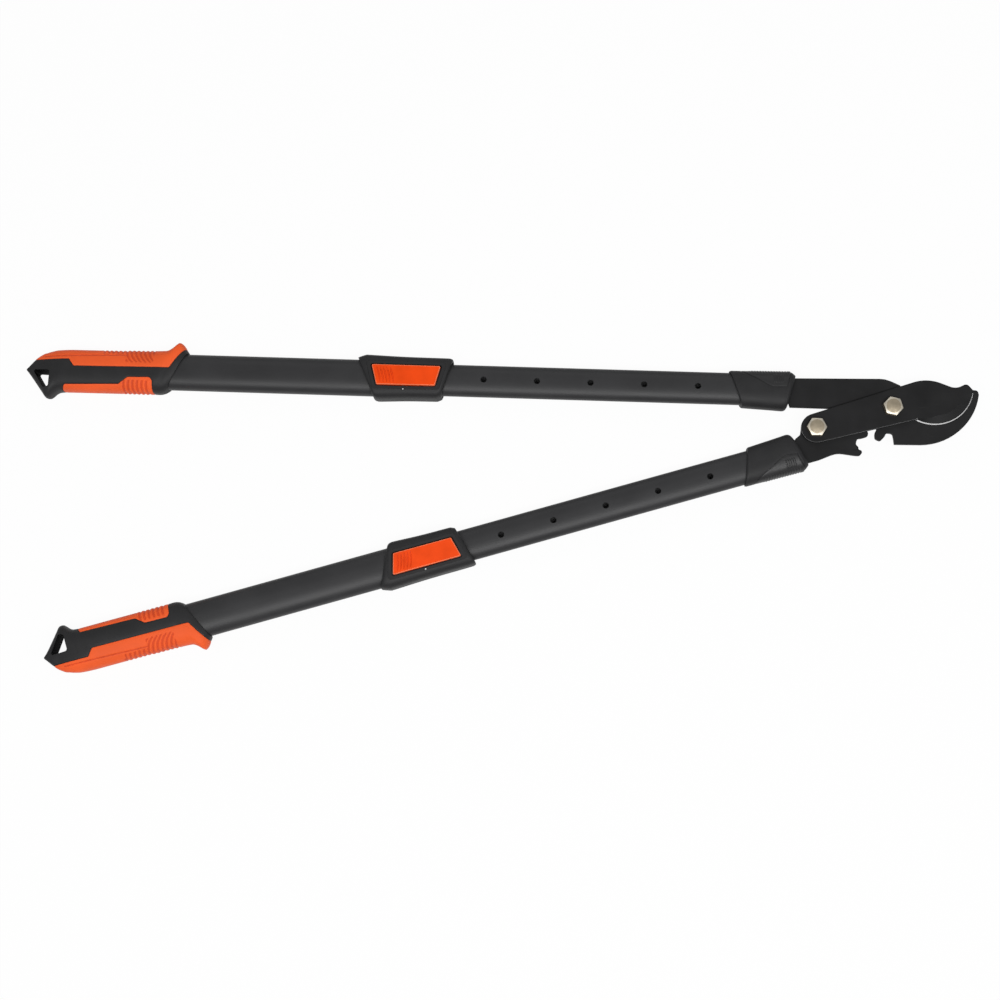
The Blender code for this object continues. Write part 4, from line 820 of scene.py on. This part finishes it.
def housing_sections():
    """Sections from the rear rim to the front rim, closer together over the shoulders."""
    def shoulder(distance, length, roundness):
        return (1 - (1 - min(1.0, distance / length)) ** roundness) ** (1 / roundness)

    rim = [HOUSING_RIM * (1 - math.cos(math.pi / 2 * i / 12)) for i in range(12)]
    places = rim + [HOUSING_RIM + (1 - 2 * HOUSING_RIM) * i / 16 for i in range(17)]
    places += [1 - share for share in reversed(rim)]
    for place in places:
        corners = []
        for side, shoulders in enumerate((OUTER_SHOULDERS, INNER_SHOULDERS)):
            rear, front = HOUSING_REAR[side], HOUSING_FRONT[side]
            spot = rear.lerp(front, place)
            bulge = HOUSING_BULGE[0] * (1 - place) + HOUSING_BULGE[1] * place
            bulge *= shoulder(spot.x - rear.x, *shoulders[0]) * shoulder(front.x - spot.x, *shoulders[1])
            bulge -= HOUSING_WAIST * math.sin(math.pi * place) ** 2
            corners.append(spot + Vector((0.0, bulge if side == 0 else -bulge)))
        along = (HOUSING_FRONT[0] - HOUSING_REAR[0]).length
        drop = HOUSING_DROP * (1 - shoulder(min(place, 1 - place) * along, DROP_RUN, 2.0))
        yield section(*corners, HOUSING_TOP - drop, HOUSING_BOTTOM - drop, HOUSING_POWER)


def hinge_rod(radius):
    """A rod on the hinge's axis, across the arm, without the wire that the turning leaves on its axis."""
    bm = rod(radius, -HINGE_REACH, HINGE_REACH, steps=24)
    bmesh.ops.delete(bm, geom=[edge for edge in bm.edges if not edge.link_faces], context="EDGES")
    bmesh.ops.rotate(bm, verts=bm.verts, matrix=Matrix.Rotation(-math.pi / 2, 3, "X"))
    return moved(bm, HINGE_AT)


frame_cut, _ = rounded_block(LEVER_CORNERS, FRAME_RADIUS, FRAME_WIDTH, HOUSING_TOP - FRAME_DEPTH, FAR)
lever_cut, _ = rounded_block(LEVER_CORNERS, GAP_RADIUS, LEVER_GAP, 0.0, FAR)
housing = cut(lofted(housing_sections(), 112), tube_room(-FAR, FAR, OUTER_HALF), frame_cut, lever_cut,
              hinge_rod(HINGE_RADIUS + HINGE_PLAY))
housings, hinge_pins = {}, {}
for arm, place in PEEP_HOLES.items():
    peep_hole = rod(1.0, HINGE_AT[2], FAR, steps=24)
    bmesh.ops.scale(peep_hole, verts=peep_hole.verts, vec=PEEP_HOLE)
    housings[arm] = cut(housing.copy(), moved(peep_hole, (HINGE_AT[0], place, 0.0)))
    pin = hinge_rod(HINGE_RADIUS)
    end = math.copysign(HINGE_REACH - HINGE_GLINT_LENGTH, place)
    bmesh.ops.bisect_plane(pin, geom=pin.verts[:] + pin.edges[:] + pin.faces[:], plane_co=(0.0, end, 0.0),
                           plane_no=(0, 1, 0))
    # The pin's end under the peep hole gets the bright colour: a painted glint.
    for part in pin.faces:
        part.material_index = int(part.calc_center_median().y / end > 1)
    hinge_pins[arm] = pin
on_both_arms("lock_housing", housings, "handle", ["lock_housing"], "black_plastic", black_moulding)
browned_steel, *_ = surface("browned_steel", BROWNED, 0.5, 0.5 * MM, 0.01 * MM, metallic=0.3)
# A bright colour for the pin's end under the peep hole, a painted glint.
painted_pin_glint, *_ = surface("painted_pin_glint", PIN_GLINT_WHITE, 0.4, 0.5 * MM, 0.004 * MM, metallic=0.2)
on_both_arms("hinge_pin", hinge_pins, "handle", ["lever_pin"], "bare_steel", browned_steel, painted_pin_glint)


# Lock levers. Orange rocking levers on a cross pin. The rear end is pressed to lift the lock pin out of the
# tube's hole; five bowed grooves give the thumb a hold there. The rim is rounded all round, and a paler
# orange is painted on it as a painted highlight; the grooves get a darker orange as painted shade.

LEVER_RADIUS = 1.4 * MM
LEVER_TIP = 2.2 * MM  # thickness at both ends
LEVER_KEEL = 11.8 * MM  # height of the underside at the hinge
KEEL_SPAN = (-34 * MM, -22 * MM)
WEDGE_SPAN, WEDGE_HALF_WIDTH = (-66 * MM, 16 * MM), 20 * MM  # beyond the lever on all sides
GROOVE_COUNT = 5
GROOVE_PITCH = 3.5 * MM
GROOVE_START = (-54.4 * MM, 0.6 * MM)
GROOVE_HALF = (1.0 * MM, 8.6 * MM, 0.45 * MM)
GROOVE_LEAN = -0.27
GROOVE_BOW = 0.7 * MM
LEVER_RIM = 0.9 * MM
LEVER_ORANGE = (0.86, 0.066, 0.003)
# paler orange of the rounded rim, a painted highlight
LEVER_RIM_HIGHLIGHT = (0.9, 0.19, 0.08)
# darker orange in the grooves, painted shade
LEVER_GROOVE_SHADE = (0.7, 0.047, 0.003)
lever, lever_top = rounded_block(LEVER_CORNERS, LEVER_RADIUS, 0.0, 0.0, LEVER_TOP)
lever_outline = np.array([tuple(vert.co.xy) for vert in lever_top.verts])
bmesh.ops.bevel(lever, geom=lever_top.edges[:], offset=LEVER_RIM, segments=3, affect="EDGES", profile=0.5,
                material=-1)
wedge = bmesh.new()
(rear, front), tip_low, above = WEDGE_SPAN, LEVER_TOP - LEVER_TIP, LEVER_TOP + MM
side_view = ((rear, tip_low), (KEEL_SPAN[0], LEVER_KEEL), (KEEL_SPAN[1], LEVER_KEEL), (front, tip_low),
             (front, above), (rear, above))
wedge_side = wedge.faces.new([wedge.verts.new((s, -WEDGE_HALF_WIDTH, z)) for s, z in side_view])
drawn = bmesh.ops.extrude_face_region(wedge, geom=[wedge_side])["geom"]
far_side = [part for part in drawn if isinstance(part, bmesh.types.BMVert)]
bmesh.ops.translate(wedge, verts=far_side, vec=(0, 2 * WEDGE_HALF_WIDTH, 0))
lever = combined(lever, wedge, "INTERSECT")
for index in range(GROOVE_COUNT):
    groove = bmesh.new()
    bmesh.ops.create_uvsphere(groove, u_segments=28, v_segments=18, radius=1.0)
    bmesh.ops.scale(groove, verts=groove.verts, vec=GROOVE_HALF)
    for vert in groove.verts:
        vert.co.x += GROOVE_LEAN * vert.co.y + GROOVE_BOW * (1 - (vert.co.y / GROOVE_HALF[1]) ** 2)
    middle = (GROOVE_START[0] + index * GROOVE_PITCH, GROOVE_START[1], LEVER_TOP)
    lever = cut(lever, moved(groove, middle))
lever.normal_update()
# Faces of the rounded rim get the paler orange, a painted highlight; faces in the grooves get the darker
# orange, painted shade.
for part, distance in zip(lever.faces, from_outline(face_centres(lever), lever_outline)):
    if 0.1 < part.normal.z < 0.995:
        part.material_index = 1 if distance < LEVER_RIM else 2
lever_colours = {"lever_plastic": LEVER_ORANGE, "lever_rim_painted_highlight": LEVER_RIM_HIGHLIGHT, "lever_groove_painted_shade": LEVER_GROOVE_SHADE}
lever_plastics = [moulded(name, colour, 0.4, 0.6 * MM, 0.008 * MM, 0.15)
                  for name, colour in lever_colours.items()]
on_both_arms("lock_lever", lever, "lever", ["lock_lever"], "orange_plastic", *lever_plastics, sharp=25)


# Lever springs. A short compression spring of fine wire under the rear of each lever, standing on the tube.

SPRING_AT = (-49.0 * MM, 0.0)
SPRING_WIRE = 0.7 * MM
SPRING_RADIUS = 2.65 * MM
SPRING_LOW = 11.85 * MM
SPRING_RISE = 2.6 * MM
SPRING_TURNS = 2.4
COIL_STEPS = 90
SPRING_GREY = (0.42, 0.42, 0.41)
spring = bmesh.new()
wire = bmesh.ops.create_circle(spring, cap_ends=True, segments=12, radius=SPRING_WIRE / 2)["verts"]
wire_end = spring.faces[:][0]
bmesh.ops.rotate(spring, verts=wire, matrix=Matrix.Rotation(math.pi / 2, 3, "X"))
moved(spring, (SPRING_AT[0] + SPRING_RADIUS, 0.0, SPRING_LOW))
bmesh.ops.spin(spring, geom=wire + list(wire_end.edges), axis=(0, 0, 1), cent=(*SPRING_AT, 0.0),
               steps=COIL_STEPS, dvec=(0, 0, SPRING_RISE / COIL_STEPS), angle=2 * math.pi * SPRING_TURNS)
bmesh.ops.holes_fill(spring, edges=spring.edges, sides=0)
spring_steel, *_ = surface("spring_steel", SPRING_GREY, 0.3, 0.3 * MM, 0.004 * MM, metallic=1.0)
springs = on_both_arms("lever_spring", spring, "handle", ["lever_spring"], "bare_steel", spring_steel)
for arm, piece in springs.items():
    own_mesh(piece)


# Grips. A hard black core with a triangular hang hole in the butt and a guard in front, moulded over the
# outer tube. Two soft orange pads are let into it, with grooves for the fingers on flanks and face.

GRIP_BUTT = -432.6 * MM
GRIP_UNIT = 1.72 * MM  # a hundredth of the grip's length
GRIP_TOP = 16.0 * MM
GRIP_POWER = 2.8
PAD_THICKNESS = 2.2 * MM
BEFORE_GRIP = -200 * MM
SEAM_GAP = 0.45 * MM
GRIP_STATIONS = (  # outer end s, u, inner end s, u in hundredths, and share of the full thickness
    (0.0, -1.4, 0.5, -3.3, 0.56), (5.3, 5.6, 5.0, -9.2, 0.69), (9.3, 8.7, 9.5, -15.1, 0.76),
    (12.9, 10.3, 12.4, -18.8, 0.84), (17.8, 11.6, 15.0, -18.9, 0.91), (22.7, 12.0, 18.2, -15.8, 0.96),
    (28.3, 12.2, 22.5, -14.5, 1.0), (48.0, 12.3, 47.4, -14.3, 1.0), (74.2, 12.5, 66.6, -14.2, 1.0),
    (87.0, 13.1, 77.1, -14.2, 1.0), (90.8, 15.2, 80.3, -14.2, 0.99), (94.3, 18.4, 82.6, -14.3, 0.97),
    (96.5, 17.3, 84.4, -14.1, 0.95), (98.4, 14.7, 86.3, -13.5, 0.9), (100.0, 12.2, 88.1, -12.4, 0.82),
)
GRIP_STEPS = (9, 7, 7, 9, 9, 9, 16, 64, 34, 8, 8, 6, 6, 6)  # sections from one station to the next
OUTER_SEAM = ((6.5, 4.2, 0.6), (27.2, 4.8, 1.2), (30.6, 0.3, 1.2), (89.8, 1.0, 1.2), (93.6, 7.0, 3.5),
              (99.8, 16.0, 0.6), (99.8, 34.9, 0.0), (-4.3, 34.9, 0.0), (-4.3, 4.2, 0.0))
INNER_SEAM = ((22.2, -34.9, 0.0), (22.8, -15.7, 1.2), (25.1, -11.3, 1.2), (59.1, -10.3, 1.2),
              (64.7, -6.0, 1.2), (78.4, -5.7, 1.7), (79.9, -7.8, 1.7), (78.8, -34.9, 0.0))
HANG_HOLE = ((4.4, -2.3, 1.0), (15.6, -2.4, 1.4), (15.2, -12.6, 1.4), (11.8, -13.6, 1.0))
RIB_RISE = 0.3 * MM  # ribs above the pad
RIB_DEPTH = 0.9 * MM  # grooves below the ribs
STEP_LINE = (-415, -413, -326, -322)  # along the arm, mm: start, full from, full to, end
SCALLOPS = (-353.5, -351, -296, -293.5)
CLUSTER = (-326, -324, -296, -294)
INNER_RIBS = (-332, -326, -300, -298)
OUTER_WAVE, INNER_WAVE = (-349, 4.9), (-321, 4.85)  # a groove's place and the ribs' pitch, mm
LINE_WIDTH = 0.65  # step line on the outer pad, mm
STEP_DEPTH = 0.4 * MM  # how much lower the pad lies outside the line
PAD_BORDER = (0.4 * MM, 1.6 * MM)  # depth and width of the rounding along the seam
BORDER_LIMIT = 0.3 * MM  # the rounding goes no deeper
CORE_BORDER = (0.35 * MM, 1.3 * MM)
PAD_ORANGE = (0.87, 0.11, 0.021)
# darker orange painted in the grooves and along the step line, painted shade
PAD_GROOVE_SHADE = (0.66, 0.068, 0.014)
GROOVE_SHARE = 0.5  # of a groove's depth, where the darker orange of the painted groove shade begins
# near-black painted on the hang hole's walls, painted shade inside the hole
HANG_HOLE_SHADE = (0.004, 0.004, 0.0045)


def grip_sections(inset=0.0, steps=GRIP_STEPS):
    """The grip's sections, eased through its stations, or the same form drawn in on all sides."""
    table = np.array(GRIP_STATIONS)
    places = [index + step / count for index, count in enumerate(steps) for step in range(count)]
    for place in places + [len(steps)]:
        i = min(int(place), len(table) - 2)
        t = place - i
        before, start, end, after = (table[min(max(k, 0), len(table) - 1)] for k in (i - 1, i, i + 1, i + 2))
        row = 0.5 * (2 * start + (end - before) * t + (2 * before - 5 * start + 4 * end - after) * t ** 2
                     + (3 * start - before - 3 * end + after) * t ** 3)
        row = 0.6 * row + 0.4 * (start + (end - start) * t)
        outer = Vector((GRIP_BUTT + row[0] * GRIP_UNIT, row[1] * GRIP_UNIT))
        inner = Vector((GRIP_BUTT + row[2] * GRIP_UNIT, row[3] * GRIP_UNIT))
        shorter = (outer - inner) * min(0.45, inset / (outer - inner).length)
        top = max(MM, row[4] * GRIP_TOP - inset)
        yield section(outer - shorter, inner + shorter, top, top, GRIP_POWER)


def on_grip(corners):
    """A table of corners in hundredths of the grip as places along and across the arm."""
    return [(GRIP_BUTT + s * GRIP_UNIT, u * GRIP_UNIT, radius * GRIP_UNIT) for s, u, radius in corners]


def seam_relief(points, outline, depth, width):
    """Pads get a rounded border, and the core dips beside them."""
    border = np.clip(1 - from_outline(points, outline) / width, 0, 1)
    return np.where(inside(points, outline), 1.0, 1.5) * -depth * border ** 2


def outer_pad_ribs(points):
    """Step line, scallops on the flank and rib cluster of the outer pad: rise and share of groove."""
    s, u = points[:, 0] / MM, points[:, 1] / MM
    line = 10.8 + (s + 413) * 0.04
    fading = window(s, *STEP_LINE)
    line_groove = np.exp(-((u - line) / LINE_WIDTH) ** 2) * fading
    stepped = -STEP_DEPTH * step_up(u, line, line + 0.9) * fading - RIB_DEPTH * line_groove
    bowed = s - 0.04 * np.minimum(u - 16, 0) ** 2 + 0.3 * (u - 16)
    grooves = 1 - waves(bowed - OUTER_WAVE[0], OUTER_WAVE[1])
    zone = np.maximum(window(s, *SCALLOPS) * step_up(u, 14.5, 16.5),
                      window(s, *CLUSTER) * step_up(u, 5.5, 6.5))
    return stepped + (RIB_RISE - RIB_DEPTH * grooves) * zone, np.maximum(line_groove, grooves * zone)


def inner_pad_ribs(points):
    """Cross ribs on the broad front end of the inner pad: rise and share of groove."""
    s, u = points[:, 0] / MM, points[:, 1] / MM
    zone = window(s, *INNER_RIBS) * (1 - step_up(u, -14, -12.5))
    grooves = 1 - waves(s - 0.02 * (u + 19) ** 2 - INNER_WAVE[0], INNER_WAVE[1])
    return (RIB_RISE - RIB_DEPTH * grooves) * zone, grooves * zone


def soft_rubber(name, colour):
    """Matt rubbery plastic with a powdery sheen and a fine stipple."""
    made, _, shader = surface(name, colour, 0.62, 0.45 * MM, 0.03 * MM, cloud=0.07, shine=0.25)
    shader.inputs["Sheen Weight"].default_value = 0.06
    shader.inputs["Sheen Roughness"].default_value = 0.4
    return made


PADS = {"outer_pad": (OUTER_SEAM, outer_pad_ribs), "inner_pad": (INNER_SEAM, inner_pad_ribs)}
# The second rubber is the darker orange of the painted shade in the grooves.
pad_rubbers = soft_rubber("soft_rubber", PAD_ORANGE), soft_rubber("rubber_with_painted_groove_shade", PAD_GROOVE_SHADE)
sleeve = OUTER_ENDS[0] - PLAY, BEFORE_GRIP, OUTER_HALF
outlines = {name: seam_block(on_grip(seam))[1] for name, (seam, _) in PADS.items()}
core = pushed(lofted(grip_sections(), 144), lambda points, _: sum(
    seam_relief(points, outline, *CORE_BORDER) for outline in outlines.values()))
core = cut(core, *(seam_block(on_grip(seam), SEAM_GAP)[0] for seam, _ in PADS.values()))
inner_steps = (3,) * len(GRIP_STEPS)
core = combined(core, lofted(grip_sections(PAD_THICKNESS + PLAY, inner_steps), 64), "UNION")
hole_block, hole_outline = seam_block(on_grip(HANG_HOLE))
core = cut(core, tube_room(*sleeve), hole_block)
core.normal_update()
# The hang hole's walls get the near-black: painted shade inside the hole.
for part, distance in zip(core.faces, from_outline(face_centres(core), hole_outline)):
    part.material_index = int(distance < 0.1 * MM and abs(part.normal.z) < 0.3)
painted_hole_shade = moulded("painted_hole_shade", HANG_HOLE_SHADE, 0.7, 0.3 * MM, 0.03 * MM, 0.05)
on_both_arms("grip_core", core, "handle", ["grip_core"], "black_plastic", black_moulding, painted_hole_shade)
for name, (seam, ribs) in PADS.items():
    pad = pushed(lofted(grip_sections(), 220), lambda points, _: ribs(points)[0] + np.maximum(
        -BORDER_LIMIT, seam_relief(points, outlines[name], *PAD_BORDER)))
    pad = combined(pad, seam_block(on_grip(seam))[0], "INTERSECT")
    pad = cut(pad, lofted(grip_sections(PAD_THICKNESS, inner_steps), 64), tube_room(*sleeve))
    # The deeper parts of the grooves and of the step line's groove get the darker orange: painted shade.
    for part, groove in zip(pad.faces, ribs(face_centres(pad))[1]):
        part.material_index = int(groove > GROOVE_SHARE)
    on_both_arms(f"grip_{name}", pad, "handle", [f"grip_{name}"], "orange_rubber", *pad_rubbers)


# Studio. A white floor, one long soft light from the near side and a weak one from behind, and the camera of
# the photograph, nearly overhead.

CAMERA_PLACE = (-0.340805, -0.387707, 1.590511)
CAMERA_AXES = ((0.998631, 0.039416, -0.034401), (-0.032835, 0.984123, 0.174424),
               (0.04073, -0.173056, 0.98407))
LENS = 55.045
FLOOR_WHITE = (0.86, 0.86, 0.86, 1.0)
SHOWN_WHITE = 0.95  # share of the floor that shows as plain white
MIRRORED_WHITE = 0.5  # the same in reflections


def reckoned(tree, operation, first, second):
    return node(tree, "ShaderNodeMath", {0: first, 1: second}, operation=operation).outputs[0]


def studio_white():
    """A white floor that shows as plain white, with a part of its own shading kept."""
    made = bpy.data.materials.new("studio_white")
    made.use_nodes = True
    tree = made.node_tree
    shader = tree.nodes["Principled BSDF"]
    shader.inputs["Base Color"].default_value = FLOOR_WHITE
    shader.inputs["Roughness"].default_value = 0.9
    shader.inputs["Specular IOR Level"].default_value = 0.0
    rays = node(tree, "ShaderNodeLightPath", {}).outputs
    seen = reckoned(tree, "MAXIMUM", rays["Is Camera Ray"], rays["Is Transmission Ray"])
    shown = reckoned(tree, "MULTIPLY", seen, SHOWN_WHITE)
    mirrored = reckoned(tree, "MULTIPLY", rays["Is Glossy Ray"], MIRRORED_WHITE)
    share = reckoned(tree, "MAXIMUM", shown, mirrored)
    plain = node(tree, "ShaderNodeEmission", {"Color": (1, 1, 1, 1), "Strength": 1.0})
    mixed = node(tree, "ShaderNodeMixShader", {0: share, 1: shader.outputs[0], 2: plain.outputs[0]})
    tree.links.new(mixed.outputs[0], tree.nodes["Material Output"].inputs["Surface"])
    return made


def soft_light(name, place, target, size, power):
    lamp = bpy.data.lights.new(name, "AREA")
    lamp.shape = "RECTANGLE"
    lamp.size, lamp.size_y = size
    lamp.energy = power
    obj = placed(name, lamp)
    obj.location = place
    obj.rotation_euler = (Vector(target) - Vector(place)).to_track_quat("-Z", "Y").to_euler()


ground = bmesh.new()
bmesh.ops.create_grid(ground, x_segments=1, y_segments=1, size=6.0)
floor_mesh = bpy.data.meshes.new("floor")
ground.to_mesh(floor_mesh)
ground.free()
floor_mesh.materials.append(studio_white())
floor = placed("floor", floor_mesh)
floor.location.z = -0.5 * MM

camera = placed("camera", bpy.data.cameras.new("camera"))
camera.data.lens = LENS
camera.data.sensor_width = 36.0
camera.matrix_world = Matrix.Translation(CAMERA_PLACE) @ Matrix(CAMERA_AXES).transposed().to_4x4()
bpy.context.scene.camera = camera

OBJECT_MIDDLE = (-0.35, -0.06, 0.02)
soft_light("near_light", (-0.2, -0.85, 2.1), OBJECT_MIDDLE, (2.8, 0.8), 43.0)
soft_light("far_light", (-0.35, 1.6, 1.6), OBJECT_MIDDLE, (2.4, 0.9), 5.0)
world = bpy.data.worlds.new("studio")
bpy.context.scene.world = world
world.use_nodes = True
background = world.node_tree.nodes["Background"]
background.inputs["Color"].default_value = (1, 1, 1, 1)
background.inputs["Strength"].default_value = 0.3
bpy.context.scene.view_settings.view_transform = "Standard"
